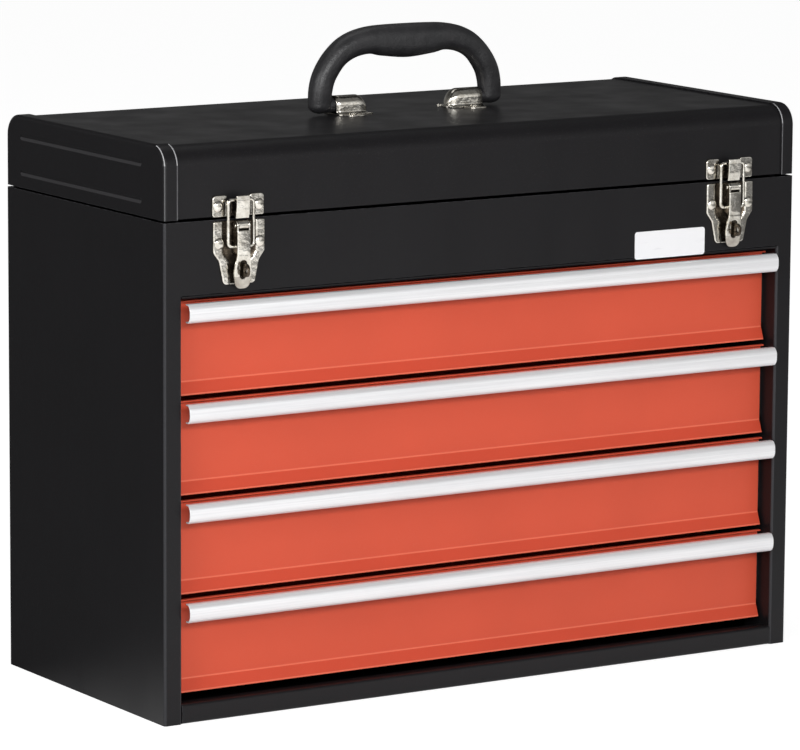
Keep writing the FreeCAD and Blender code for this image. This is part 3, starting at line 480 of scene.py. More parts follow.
def second_finish(made, finish, chosen):
    """Another finish on the piece's chosen faces."""
    made.data.materials.append(finish)
    for polygon in made.data.polygons:
        if chosen(polygon):
            polygon.material_index = len(made.data.materials) - 1


def span(node, axis):
    """The lowest and highest place of a CAD node along x, y or z, in millimetres."""
    low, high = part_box(node)
    return low["xyz".index(axis)] / MM, high["xyz".index(axis)] / MM


def grid_cuts(axis, low, high, pitch):
    """Evenly spaced cutting planes between two places."""
    count = int((high - low) / pitch)
    return [(axis, low + (high - low) * k / count) for k in range(1, count)]


def smooth(value, start, end):
    """0 before start, 1 after end, and an S between them."""
    share = min(max((value - start) / (end - start), 0.0), 1.0)
    return share * share * (3 - 2 * share)


# Case

COLUMN = 13.5
COLUMN_RETURN = 30.0
BACK_FLANGE = 11.0
RAIL_RETURN = 10.0
CASE_BEND = 2.0
HEM = 8.0
FOLD_EDGE = 0.2
# How far a face's normal leans forward, or to a side, where it counts as turned that way.
LEANS = 0.2


def case_skin():
    """Sides, corner columns and top panel as one folded skin round the drawers' opening."""
    front, back = span("right_side_panel", "y")
    foot, top = span("right_side_panel", "z")
    half = span("right_side_panel", "x")[1]
    opening = half - COLUMN
    panel_low = span("top_front_panel", "z")[0]
    seam = panel_low + CASE_BEND
    skin = Shape()

    def sheet(line, low, high, end):
        section = folded(line, SHEET)
        rows = skin.loft([[(p.x, p.y, z) for p in section] for z in (low, high)], capped=False)
        skin.fill([section], [rows[end]])

    column = rounded([
        (opening, front + COLUMN_RETURN), (opening, front, CASE_BEND), (half, front, CASE_BEND),
        (half, back, CASE_BEND), (half - BACK_FLANGE, back),
    ], steps=6, closed=False)
    around = rounded(mirrored([
        (BACK_FLANGE - half, back), (-half, back, CASE_BEND), (-half, front, CASE_BEND),
    ]), steps=6, closed=False)
    sheet(column, foot, seam, 0)
    sheet([Vector((-p.x, p.y)) for p in reversed(column)], foot, seam, 0)
    sheet(around, seam, top, 1)
    rail = rounded([
        (front + RAIL_RETURN, panel_low), (front, panel_low, CASE_BEND), (front, seam + CASE_BEND / 4),
    ], steps=6, closed=False)
    skin.loft([[(x, p.x, p.y) for p in folded(rail, -SHEET)] for x in (-opening, opening)], capped=False)
    strips = (
        (opening, front + SHEET, COLUMN_RETURN - SHEET, seam),
        (half - 2 * SHEET, front + COLUMN_RETURN, back - front - COLUMN_RETURN - 3 * SHEET, top - HEM),
    )
    for side in (-1, 1):
        for x, y, deep, low in strips:
            skin.extrusion(oblong(x, x + SHEET, y, y + deep), low, top, FOLD_EDGE,
                           lambda p, q, along: (side * p, q, along))
    skin.extrusion(oblong(front + SHEET, front + 2 * SHEET, top - HEM, top), -opening, opening,
                   FOLD_EDGE, along_x)
    made = skin.piece("case_skin", BLACK, "case",
                      ["left_side_panel", "right_side_panel", "top_front_panel"])
    # Painted highlight on the front corner bends.
    second_finish(made, BLACK_BEND_HIGHLIGHT, lambda p: abs(p.normal.x) > LEANS and p.normal.y < -LEANS
                  and p.center.y < (front + CASE_BEND) * MM)


# Lid

LID_CORNER = 15.0
LID_STEPS = 14
CAP_SHEET = 1.2
CAP_RIM = 10.5
CAP_EDGE = 2.4
CAP_LINE = 0.8
LID_RETURN = 8.0
GROOVE_WIDTH = 4.5
GROOVE_DEPTH = 0.6
GROOVE_DROPS = (14.5, 39.0)
GROOVE_FRONT = 32.0
GROOVE_BACK = 22.5
GROOVE_STEPS = 6


def lid_cover():
    """The sheet that wraps front, top and back, with a return along both lower edges."""
    front, back = span("lid_cover", "y")
    low, top = span("lid_cover", "z")
    left, right = span("lid_cover", "x")
    radius = LID_CORNER - CAP_SHEET
    outer = rounded([
        (front + LID_RETURN, low), (front, low, SHEET), (front, top, radius),
        (back, top, radius), (back, low, SHEET), (back - LID_RETURN, low),
    ], steps=LID_STEPS, closed=False)
    cover = Shape()
    cover.loft([[(x, p.x, p.y) for p in folded(outer, -SHEET)] for x in (left, right)])
    cover.piece("lid_wrap", BLACK, "lid", ["lid_cover"])


def lid_end(node, side):
    """A pressed end pan with soft edges and two grooves, its rim over the cover's ends."""
    front, back = span(node, "y")
    low, top = span(node, "z")
    outside = max(abs(x) for x in span(node, "x"))
    path = rounded([(back, low), (back, top, LID_CORNER), (front, top, LID_CORNER), (front, low)],
                   steps=LID_STEPS, closed=False)

    def at(line, inward):
        return [(side * (outside - inward), p.x, p.y) for p in line]

    pan = Shape()
    steps = rounding(CAP_EDGE, 6)
    places = steps + [(0, CAP_RIM - CAP_LINE), (0, CAP_RIM), (CAP_SHEET, CAP_RIM)]
    places += [(CAP_SHEET + away / 2, CAP_SHEET + depth / 2) for away, depth in reversed(steps)]
    skin = pan.loft([at(inset(path, away, closed=False), inward) for away, inward in places],
                    closed=False, capped=False)
    grooves = []
    for drop in GROOVE_DROPS:
        rings = []
        for k in range(GROOVE_STEPS + 1):
            share = 1 - k / GROOVE_STEPS
            reach = GROOVE_WIDTH / 2 * max(share, 0.1)
            loop = arc((back - GROOVE_BACK, top - drop), reach, -90, 90, 10)
            loop += arc((front + GROOVE_FRONT, top - drop), reach, 90, 270, 10)
            depth = GROOVE_DEPTH * (1 + math.cos(math.pi * share)) / 2
            rings.append((loop, pan.row(at(loop, depth))))
        for ring, next_ring in zip(rings, rings[1:]):
            pan.bridge(ring[1], next_ring[1])
        pan.faces.append(tuple(rings[-1][1]))
        grooves.append(rings[0])
    face = inset(path, CAP_EDGE, closed=False)
    pan.fill(*zip((face, skin[0]), *grooves))
    pan.faces += [tuple(skin[-1]), (skin[0][0], skin[0][-1], skin[-1][-1], skin[-1][0]),
                  tuple(row[0] for row in skin), tuple(row[-1] for row in skin)]
    made = pan.piece(node.replace("lid_", "cap_"), BLACK, "lid", [node])
    groove_floor = outside - GROOVE_DEPTH - 0.1

    def at_edge(polygon):
        across = abs(polygon.center.x) / MM
        rim = across < outside - CAP_RIM + CAP_LINE
        bend = 0.5 < abs(polygon.normal.x) < 0.9 and across < groove_floor
        return (rim or bend) and polygon.normal.y < -LEANS

    def on_lower_slope(polygon):
        rises = (polygon.center.z / MM - top + drop for drop in GROOVE_DROPS)
        return (polygon.normal.z > 0.04 and any(abs(rise) < GROOVE_WIDTH / 2 for rise in rises)
                and groove_floor < abs(polygon.center.x) / MM < outside - 0.01)

    # Painted highlights on the caps' front rim line and bend, brightest where the bend turns up.
    second_finish(made, BLACK_EDGE_HIGHLIGHT, at_edge)
    second_finish(made, BLACK_GLINT, lambda p: at_edge(p) and p.normal.z > 0.12)
    # Painted highlight on the grooves' upward-facing lower slopes.
    second_finish(made, BLACK_GROOVE_HIGHLIGHT, on_lower_slope)


# Drawers

DRAWERS = (1, 2, 3, 4)
FRONT_NOSE = 4.0
FRONT_LIP = 3.5
LIP_HEIGHT = 9.0
LIP_LINE = 1.1
FRONT_RETURN = 1.7
FRONT_EDGE = 0.38
FRONT_BEND = 1.4
CREASE_BEND = 1.6
PULL_HEIGHT = 12.7
PULL_BULGE = 2.8
PULL_CROWN = 3.0
PULL_CORNER = 0.9
PULL_RETURN = 3.2
PULL_WALL = 0.9
WEB_DROP = 7.0
WEB_FOOT = 6.0
WEB_INSET = 12.0
WEB_BEND = 0.8


def drawer_front(number):
    """A drawer's face: a nosed top edge, a kicked-out lip below a crease, and folded sides."""
    body = "drawer_%d" % number
    node = body + "_front"
    left, right = span(node, "x")
    low, top = span(node, "z")
    nose = span(node, "y")[0]
    face = nose + FRONT_NOSE
    crease = low + LIP_HEIGHT
    outer = rounded([
        (nose, top), (face + SHEET, top, FRONT_BEND + SHEET), (face + SHEET, crease, CREASE_BEND),
        (face + SHEET - FRONT_LIP, low),
    ], steps=6, closed=False)
    front_side = rounded([
        (face - FRONT_LIP, low), (face, crease, CREASE_BEND), (face, top - SHEET, FRONT_BEND),
        (nose, top - SHEET),
    ], steps=6, closed=False)
    profile = list(reversed(outer + front_side))
    panel = Shape()
    panel.extrusion(profile, left, right, FRONT_EDGE, along_x)
    for start in (left, right - SHEET):
        fold = oblong(start, start + SHEET, face + SHEET / 2, face + SHEET + FRONT_RETURN)
        panel.extrusion(fold, crease + 3 * SHEET, top - 5 * SHEET, FOLD_EDGE,
                        lambda p, q, along: (p, q, along))
    lines = (low + LIP_LINE, crease - LIP_LINE / 2, crease + LIP_LINE / 2)
    made = panel.piece(body + "_face", RED, body, [node],
                       [(Z_AXIS, z) for z in lines], angle=28.0)
    # Painted shade on the lip below the crease and on the upward-facing nose top.
    second_finish(made, RED_SHADED, lambda p: p.center.z < crease * MM or p.normal.z > 0.5)
    # Painted highlight lines at the lip's lower edge and along the crease.
    second_finish(made, RED_LINE_HIGHLIGHT, lambda p: p.center.z < (low + LIP_LINE) * MM
                  or abs(p.center.z / MM - crease) < LIP_LINE / 2)


def drawer_pull(number):
    """A drawn strip with curled edges, held on a web along the drawer's face."""
    body = "drawer_%d" % number
    node = body + "_pull"
    left, right = span(node, "x")
    top = span(node, "z")[1]
    low = top - PULL_HEIGHT
    front, face = span(node, "y")
    middle = (low + top) / 2
    half = PULL_HEIGHT / 2
    shoulder = front + PULL_BULGE
    ups = [1 - k / 8 for k in range(17)]
    bulge = [(front + PULL_BULGE * abs(up) ** PULL_CROWN, middle + half * up) for up in ups]
    outer = rounded([(shoulder + PULL_RETURN, top), (shoulder, top, PULL_CORNER)] + bulge[1:-1]
                    + [(shoulder, low, PULL_CORNER), (shoulder + PULL_RETURN, low)], closed=False)
    strip = Shape()
    strip.extrusion(folded(outer, PULL_WALL), left, right, 0.25, along_x)
    web_top = span(body + "_front", "z")[1] - WEB_DROP
    web = rounded([
        (front + PULL_WALL / 2, web_top - PULL_WALL), (face - SHEET, web_top - PULL_WALL, WEB_BEND),
        (face - SHEET, web_top - WEB_FOOT), (face, web_top - WEB_FOOT), (face, web_top, WEB_BEND),
        (front + PULL_WALL / 2, web_top),
    ])
    strip.extrusion(web, left + WEB_INSET, right - WEB_INSET, FOLD_EDGE, along_x)
    strip.piece(body + "_strip", ALUMINIUM, body, [node])


# Draw latches, in places counted across from the latch's own middle

LATCH_PLACE = 199.0
LATCH_HALF = 19.75
LATCH_SHEET = 1.2
LATCH_PITCH = (0.7, 0.9)
BASE_SHOULDER = 21.0
BASE_WAIST = (15.3, 27.0)
BASE_FOOT = 12.0
# The base's channel: half its width at the foot, what it gains, and where below the top it does.
BANK = 6.4
BANK_GAIN = 5.4
BANK_FALLS = (30.0, 20.0)
BANK_SLOPE = 1.6
STRAP_HALF = 3.6
PAD_RELIEF = 1.9
CHANNEL_RELIEF = 0.8
PAD_INNER = 8.6
KEEPER_BRIDGE = 2.5
HOOK_SHELF = 10.2
HOOK_TOP = 14.4
RIVET_PLACE = 15.5
RIVET_RADIUS = 3.9
LEVER_HALF = 5.0
LEVER_BULGE = 6.85
LEVER_TIP = 5.1
# Below the pivot: the lever's top, bend and widest place, the slot's ends and the ears' feet.
LEVER_TOP = 3.2
LEVER_BEND = 19.6
LEVER_WIDEST = 30.5
SLOT_ENDS = (23.0, 35.7)
EAR_FOOT = 17.0
EAR_BACK = 3.0
TONGUE_LEAN = 2.3
LEVER_CROWN = 0.35
GRIT_HEIGHT = 8.0
SLOT_HALF = 2.25
BAIL_HALF = 9.6
BAIL_REACH = 3.9
BAIL_CORNER = 2.4
EYE_RADIUS = 2.0
EYE_PLACE = 3.0
STAPLE_THICK = 2.0
WIRE_RADIUS = 1.15
PIN_RADIUS = 1.5
PIN_HALF = 5.6
KNUCKLE_RADIUS = 3.4


def lever_pivot():
    """The levers' axis in y and z."""
    return tuple(span("latch_lever_pins", axis)[0] + PIN_RADIUS for axis in "yz")


def upright(u, v, depth):
    """Where a plate's point goes when the plate stands across the part."""
    return (u, depth, v)


def on_latch(side):
    """Where an extrusion goes when it is drawn out across a latch."""
    return lambda p, q, along: (side * (LATCH_PLACE + along), p, q)


def pressed(side, wall, rise, co):
    """A plate's point on a latch, raised from the channel, at 0, to the pads, at 1."""
    tall = CHANNEL_RELIEF + (PAD_RELIEF - CHANNEL_RELIEF) * rise
    return Vector((side * (LATCH_PLACE + co.x), wall - tall * (1 - co.y / LATCH_SHEET), co.z))


def plate_cuts(low, high):
    """The cuts that let a latch's plate be pressed."""
    return (grid_cuts(X_AXIS, -LATCH_HALF, LATCH_HALF, LATCH_PITCH[0])
            + grid_cuts(Z_AXIS, low, high, LATCH_PITCH[1]))


def from_middle(polygon):
    """How far a polygon is across from its latch's middle."""
    return abs(abs(polygon.center.x) / MM - LATCH_PLACE)


def latch_base(node, side):
    """A waisted base plate, raised at both flanks, with a curled strap for the lever's pin."""
    top = span(node, "z")[1] - 0.5
    foot = span(node, "z")[0]
    face = span("top_front_panel", "y")[0]
    outline = rounded(mirrored([
        (-LATCH_HALF, top, 1.5), (-LATCH_HALF, top - BASE_SHOULDER, 4.0),
        (-BASE_WAIST[0], top - BASE_WAIST[1], 4.0), (-BASE_FOOT, foot, 3.0),
    ]))

    def bank(z):
        return BANK + BANK_GAIN * smooth(z, top - BANK_FALLS[0], top - BANK_FALLS[1])

    def relief(co):
        return pressed(side, face, smooth(abs(co.x), bank(co.z), bank(co.z) + BANK_SLOPE), co)

    def in_channel(polygon):
        return (from_middle(polygon) < bank(polygon.center.z / MM) + 0.9
                and polygon.center.z > (foot + 2.2) * MM)

    sheet = Shape()
    sheet.plate(outline, LATCH_SHEET, 0.75, upright)
    made = sheet.piece(node.replace("latch_base", "hasp_plate"), NICKEL, "case", [node],
                       plate_cuts(foot, top), relief, angle=50.0)
    # Painted shade down the base's channel.
    second_finish(made, NICKEL_PAINTED_SHADE, in_channel)
    pivot = lever_pivot()
    curl = [Vector((face, top)), Vector((pivot[0], pivot[1] + KNUCKLE_RADIUS))]
    curl += arc(pivot, KNUCKLE_RADIUS, 95, 400, 28)
    curl += [Vector((face, top - LATCH_SHEET))]
    strap = Shape()
    strap.extrusion(list(reversed(curl)), -STRAP_HALF, STRAP_HALF, 0.3, on_latch(side))
    strap.piece(node.replace("latch_base", "hasp_strap"), NICKEL, "case")


def latch_lever(node, side):
    """The lever: two ears, a flat web, and a flared tongue with a slot that leans in to its tip."""
    low, high = span(node, "z")
    front = span(node, "y")[0]
    pivot_y, pivot_z = lever_pivot()
    bend = pivot_z - LEVER_BEND
    web_top = pivot_z - LEVER_TOP
    outline = rounded(mirrored([
        (-LEVER_HALF, web_top), (-LEVER_HALF, bend, 6.0), (-LEVER_BULGE, pivot_z - LEVER_WIDEST, 5.0),
        (-LEVER_TIP, low, 4.4),
    ]))
    slot = arc((0, pivot_z - SLOT_ENDS[1] + SLOT_HALF), SLOT_HALF, 180, 360, 12)
    slot += arc((0, pivot_z - SLOT_ENDS[0] - SLOT_HALF), SLOT_HALF, 0, 180, 12)
    lean = TONGUE_LEAN / (bend - low)

    def bent(co):
        below = max(bend - co.z, 0.0)
        sunk = lean * below * smooth(below, 0.0, 2.0) + LEVER_CROWN
        crown = LEVER_CROWN * (1 - (co.x / LEVER_HALF) ** 2) * smooth(co.z, bend, bend + 3)
        return Vector((side * (LATCH_PLACE + co.x), front + sunk + co.y - crown, co.z))

    tongue = Shape()
    tongue.plate(outline, LATCH_SHEET, 0.45, upright, [slot])
    cuts = grid_cuts(Z_AXIS, low, web_top, 1.0) + grid_cuts(X_AXIS, -LEVER_HALF, LEVER_HALF, 1.0)
    lever = tongue.piece(node.replace("lever", "tongue"), NICKEL, node + "_arm", [node],
                         cuts, bent, angle=50.0)
    second_finish(lever, NICKEL_GRIT, lambda p: p.center.z < (low + GRIT_HEIGHT) * MM)
    ears = Shape()
    ear = rounded([
        (front + 0.5, bend), (front + LATCH_SHEET, bend), (pivot_y + EAR_BACK, pivot_z - EAR_FOOT, 2.0),
        (pivot_y + EAR_BACK, high, 2.8), (front + 0.5, high, 2.8),
    ])
    for start in (-LEVER_HALF, LEVER_HALF - LATCH_SHEET):
        ears.extrusion(ear, start, start + LATCH_SHEET, 0.35, on_latch(side))
    ears.piece(node.replace("lever", "lever_ears"), NICKEL, node + "_arm")


def latch_bail(node, side):
    """The wire bail that reaches from the lever's ears over the hook."""
    low, high = span(node, "z")
    y = sum(span(node, "y")) / 2
    foot, cross = low + WIRE_RADIUS, high - WIRE_RADIUS
    route = rounded(mirrored([
        (-BAIL_REACH, foot), (-BAIL_HALF, foot, BAIL_CORNER), (-BAIL_HALF, cross, BAIL_CORNER),
    ]), steps=8, closed=False)
    path = [Vector((side * (LATCH_PLACE + p.x), y, p.y)) for p in route]
    wire = Shape()
    wire.tube(path, Vector((0, 1, 0)), WIRE_RADIUS)
    wire.piece(node.replace("bail", "wire"), NICKEL, node + "_wire", [node])


def latch_keeper(node, side):
    """The keeper on the lid: two pads with a rolled hook between them."""
    foot, high = span(node, "z")
    low = span("lid_cover", "z")[0]
    lip, back = span(node, "y")
    bridge, shelf, lip_top = low + KEEPER_BRIDGE, low + HOOK_SHELF, low + HOOK_TOP
    outline = rounded([
        (-LATCH_HALF, low, 1.8), (LATCH_HALF, low, 1.8), (LATCH_HALF, high, 2.6), (PAD_INNER, high, 1.8),
        (PAD_INNER, bridge, 0.8), (LEVER_HALF, bridge, 0.8), (LEVER_HALF, shelf), (-LEVER_HALF, shelf),
        (-LEVER_HALF, bridge, 0.8), (-PAD_INNER, bridge, 0.8), (-PAD_INNER, high, 1.8),
        (-LATCH_HALF, high, 2.6),
    ])

    def relief(co):
        return pressed(side, back, smooth(abs(co.x), PAD_INNER - 1.6, PAD_INNER + 0.4), co)

    sheet = Shape()
    sheet.plate(outline, LATCH_SHEET, 0.6, upright)
    made = sheet.piece(node.replace("keeper", "strike"), NICKEL, "lid", [node],
                       plate_cuts(low, high), relief, angle=50.0)
    # Painted shade on the keeper's middle, behind the hook.
    second_finish(made, NICKEL_PAINTED_SHADE, lambda p: from_middle(p) < PAD_INNER + 0.2)
    hook = rounded([
        (back - CHANNEL_RELIEF / 2, shelf), (lip + LATCH_SHEET, shelf, 0.4),
        (lip + LATCH_SHEET + 0.3, lip_top, 0.5), (lip + 0.35, lip_top, 0.6), (lip, lip_top - 3.2, 4.0),
        (lip + 0.5, low + 4.5, 9.0), (lip + 1.6, foot, 0.5), (lip + 2.8, foot, 0.4),
        (lip + 1.8, shelf - LATCH_SHEET, 0.6), (back - CHANNEL_RELIEF / 2, shelf - LATCH_SHEET),
    ])
    rolled = Shape()
    rolled.extrusion(hook, -LEVER_HALF, LEVER_HALF, 0.3, on_latch(side))
    rolled.piece(node.replace("keeper", "hook"), NICKEL, "lid")


def padlock_staple(node, side):
    """The eye that stands through the lever's slot."""
    low, high = span(node, "z")
    tip = span(node, "y")[0]
    face = span("top_front_panel", "y")[0] - CHANNEL_RELIEF / 2
    outline = rounded([(tip, low, 4.2), (face, low), (face, high), (tip, high, 4.2)], steps=8)
    eye = arc((tip + EYE_PLACE, (low + high) / 2), EYE_RADIUS, 0, 345, 23)
    start = side * LATCH_PLACE - STAPLE_THICK / 2
    plate = Shape()
    plate.plate(outline, STAPLE_THICK, 0.4, lambda u, v, depth: (start + depth, u, v), [eye])
    # The staple is darkened all over as painted shade in the slot.
    plate.piece(node.replace("staple", "eye"), NICKEL_PAINTED_SHADE, "case", [node])


def latch_rivets():
    """Domed heads on the bases and the keepers, and the levers' pins."""
    for node, body, face_node in (("latch_base_rivets", "case", "top_front_panel"),
                                  ("keeper_rivets", "lid", "lid_cover")):
        face = span(face_node, "y")[0] - (PAD_RELIEF - 0.2)
        height = face - span(node, "y")[0]
        z = sum(span(node, "z")) / 2
        heads = Shape()
        for side in (-1, 1):
            for place in (-RIVET_PLACE, RIVET_PLACE):
                heads.head((side * (LATCH_PLACE + place), face, z), (0, -1, 0), RIVET_RADIUS, height)
        heads.piece(node.replace("rivets", "heads"), NICKEL, body, [node])
    middle = [sum(span("latch_lever_pins", axis)) / 2 for axis in "yz"]
    pins = Shape()
    for side in (-1, 1):
        ring = arc(middle, PIN_RADIUS, 0, 345, 23)
        pins.extrusion(ring, -PIN_HALF, PIN_HALF, 0.4,
                       lambda p, q, along: (side * LATCH_PLACE + along, p, q))
    pins.piece("latch_pins", NICKEL, "case", ["latch_lever_pins"])


# Handle

GRIP_THICKNESS = 18.6
GRIP_DEPTH = 16.0
HALF_SPAN = 69.9
GRIP_RISE = 42.1
GRIP_SIDES = 48
# Under 1, a section's corners are fuller than an ellipse's.
GRIP_FULLNESS = 0.84
TOE_DEPTH = 5.5
PIVOT_Z = span("handle_grip", "z")[0] + TOE_DEPTH
STUB_RADIUS = 5.2
STUB_REACH = 26.5
# Across, up, thickness, depth, as shares, and the section's turn in degrees, from pivot to middle.
GRIP_STATIONS = (
    (0.998, 0.000, 0.870, 0.84, 0.0),
    (0.990, 0.235, 0.880, 0.93, 5.0),
    (0.959, 0.439, 0.880, 0.97, 17.9),
    (0.897, 0.622, 0.880, 1.00, 32.8),
    (0.815, 0.784, 0.880, 1.01, 48.2),
    (0.715, 0.907, 0.925, 1.06, 63.8),
    (0.591, 0.990, 0.968, 1.10, 74.7),
    (0.443, 1.031, 1.022, 1.13, 84.0),
    (0.286, 1.019, 1.161, 1.16, 90.0),
    (0.000, 1.000, 1.274, 1.19, 90.0),
)
SADDLE_END = 59.8
DOME_PLACE = 42.0
SADDLE_RADIUS = 6.5
DOME_LENGTH = 9.2
FOOT_REACH = 0.6
FOOT_END = 3.0
FOOT_MARGIN = 3.5
TAB_INSET = 10.0
TAB_ROOT = 8.5
TAB_TIP = 6.0
TAB_RIVET = 3.0
FLARE = 1.6
FOOT_THICK = 1.2
SADDLE_SHEET = 1.2


def between(stations, place):
    """The stations' values at a place counted in stations, on a smooth curve through them all."""
    i = min(int(place), len(stations) - 2)
    t = place - i
    a, b, c, d = (stations[min(max(i + k, 0), len(stations) - 1)] for k in (-1, 0, 1, 2))
    return [0.5 * (2 * q + (r - p) * t + (2 * p - 5 * q + 4 * r - s) * t ** 2
                   + (3 * q - p - 3 * r + s) * t ** 3) for p, q, r, s in zip(a, b, c, d)]


def handle_grip():
    """The moulded grip: soft-cornered sections along an arch, with round toes and pivot stubs."""
    left_half = [(-a, u, t, d, 180 - turn) for a, u, t, d, turn in reversed(GRIP_STATIONS[:-1])]
    stations = list(GRIP_STATIONS) + left_half

    def ring(across, up, thick, deep, turn, shrink=1.0, drop=0.0):
        wide = GRIP_THICKNESS / 2 * thick * shrink
        long = GRIP_DEPTH / 2 * deep * shrink
        tilt = math.radians(turn)
        points = []
        for k in range(GRIP_SIDES):
            a = 2 * math.pi * k / GRIP_SIDES
            u = math.copysign(abs(math.cos(a)) ** GRIP_FULLNESS, math.cos(a)) * wide
            v = math.copysign(abs(math.sin(a)) ** GRIP_FULLNESS, math.sin(a)) * long
            points.append((HALF_SPAN * across + u * math.cos(tilt), v,
                           PIVOT_Z + GRIP_RISE * up + u * math.sin(tilt) - drop))
        return points

    toe = quarter(8)[1:]
    rows = [ring(*stations[0], max(math.cos(a), 0.05), TOE_DEPTH * math.sin(a)) for a in reversed(toe)]
    steps = 8 * (len(stations) - 1)
    rows += [ring(*between(stations, (len(stations) - 1) * k / steps)) for k in range(steps + 1)]
    rows += [ring(*stations[-1], max(math.cos(a), 0.05), TOE_DEPTH * math.sin(a)) for a in toe]
    grip = Shape()
    grip.loft(rows)
    for side in (-1, 1):
        circle = arc((0, PIVOT_Z), STUB_RADIUS, 0, 350, 35)
        grip.extrusion(circle, HALF_SPAN - STUB_REACH, HALF_SPAN, 0.6,
                       lambda p, q, along: (side * along, p, q))
    grip.piece("carry_grip", GRIP, "handle", ["handle_grip"], angle=60.0)


def handle_bracket(node, side):
    """A pressed saddle over the stub, domed at its inner end, on a foot with two riveted tabs."""
    deck = span(node, "z")[0] + FOOT_THICK
    wide = span(node, "y")[1]
    foot_end = DOME_PLACE - DOME_LENGTH - FOOT_REACH
    side_half = SADDLE_RADIUS + FOOT_MARGIN
    tab_x = SADDLE_END - TAB_INSET
    half = [
        (SADDLE_END, side_half), (tab_x + TAB_ROOT, side_half, 2.0), (tab_x + TAB_TIP, wide, 3.2),
        (tab_x - TAB_TIP, wide, 3.2), (tab_x - TAB_ROOT, side_half, 2.0),
        (DOME_PLACE, side_half, 3.0), (foot_end, FOOT_END, 2.0),
    ]
    other = [(corner[0], -corner[1]) + corner[2:] for corner in reversed(half)]
    outline = rounded(other[-1:] + half + other[:-1])
    foot = Shape()
    foot.plate(outline, FOOT_THICK, 0.5, lambda u, v, depth: (side * u, v, deck - depth))
    foot.piece(node.replace("handle_bracket", "saddle_foot"), NICKEL, "lid", [node])
    wall = PIVOT_Z - deck

    def section(x, width, height):
        points = [(side * x, -width - FLARE * (1 - math.sin(a)), deck + FLARE * (1 - math.cos(a)) * height)
                  for a in quarter(5)]
        for p in arc((0, wall), SADDLE_RADIUS, 180, 0, 24):
            points.append((side * x, p.x / SADDLE_RADIUS * width, deck + p.y * height))
        return points + [(q[0], -q[1], q[2]) for q in reversed(points[:6])]

    stations = [(SADDLE_END - 0.1, 1.0, 1.0)]
    stations += [(DOME_PLACE + (SADDLE_END - DOME_PLACE) * k / 4, 1.0, 1.0) for k in (3, 2, 1, 0)]
    for a in quarter(12)[1:]:
        width = math.cos(a) ** 0.85
        stations.append((DOME_PLACE - DOME_LENGTH * math.sin(a), width, max(math.cos(a), 0.0) ** 1.15))
    shell = Shape()
    shell.loft([section(x, SADDLE_RADIUS * width, height) for x, width, height in stations],
               closed=False, capped=False)
    saddle = shell.piece(node.replace("handle_bracket", "saddle"), NICKEL, "lid", angle=60.0)
    wall_sheet = saddle.modifiers.new("sheet", "SOLIDIFY")
    wall_sheet.thickness = SADDLE_SHEET * MM
    wall_sheet.offset = -1.0


def bracket_rivets():
    """Heads on the brackets' tabs."""
    deck = span("right_handle_bracket", "z")[0] + FOOT_THICK
    height = span("handle_bracket_rivets", "z")[1] - deck
    tab_y = span("handle_bracket_rivets", "y")[1] - TAB_RIVET
    heads = Shape()
    for side in (-1, 1):
        for y in (-tab_y, tab_y):
            heads.head((side * (SADDLE_END - TAB_INSET), y, deck), Z_AXIS, TAB_RIVET, height)
    heads.piece("saddle_heads", NICKEL, "lid", ["handle_bracket_rivets"])


# Label

LABEL_BOX = (119.5, 178.8, 286.5, 305.8)
LABEL_THICK = 0.25


def label():
    """A blank sticker on the front panel."""
    start = span("top_front_panel", "y")[0] - LABEL_THICK
    film = Shape()
    film.plate(oblong(*LABEL_BOX, 2.0), LABEL_THICK, 0.1, lambda u, v, depth: (u, start + depth, v))
    film.piece("blank_label", LABEL, "case")


for name, node in frame["nodes"].items():
    slot_name = next(s["material_slot"] for s in frame["record"]["subparts"] if s["node"] == name)
    finish = SLOT_FINISHES[slot_name]
    if not node.material_slots:
        node.data.materials.append(finish)
    for material_slot in node.material_slots:
        material_slot.material = finish

case_skin()
lid_cover()
handle_grip()
bracket_rivets()
latch_rivets()
label()
for name, side in (("left", -1), ("right", 1)):
    lid_end("lid_%s_end" % name, side)
    latch_base(name + "_latch_base", side)
    latch_lever(name + "_lever", side)
    latch_bail(name + "_bail", side)
    latch_keeper(name + "_keeper", side)
    padlock_staple(name + "_padlock_staple", side)
    handle_bracket(name + "_handle_bracket", side)
for number in DRAWERS:
    drawer_front(number)
    drawer_pull(number)


# Floor, world, lamps and camera

def backdrop(nodes, place, falls):
    """Which rays see the backdrop, which of them are mirrored or passed on, and how bright it is.

    It is white for the camera and in front of the part, and falls along each axis named in falls.
    """
    rays = nodes.node("ShaderNodeLightPath").outputs
    turned = nodes.math("MAXIMUM", rays["Is Glossy Ray"], rays["Is Transmission Ray"])
    seen = nodes.math("MAXIMUM", rays["Is Camera Ray"], turned)
    places = nodes.node("ShaderNodeSeparateXYZ", {0: place}).outputs
    level = 1.0
    for axis, near, far, dim in falls:
        level = nodes.math("MULTIPLY", level, nodes.ramp(places[axis], near, far, 1.0, dim))
    return seen, turned, nodes.math("MAXIMUM", rays["Is Camera Ray"], level)


# Axis, near and far place or direction, and the level past the far one.
WORLD_FALLS = (("Y", 0.05, 0.65, 0.19), ("Z", 0.20, 0.55, 0.18), ("X", 0.50, 0.80, 0.35))
FLOOR_FALLS = (("Y", -0.13, 0.10, 0.10), ("X", 0.45, 1.25, 0.15))
WHITE = (1, 1, 1, 1)
WORLD_SOFT = 0.46
FLOOR_HALF = 6.0
FLOOR_GLOW = 0.70
FLOOR_SHADE = 0.58


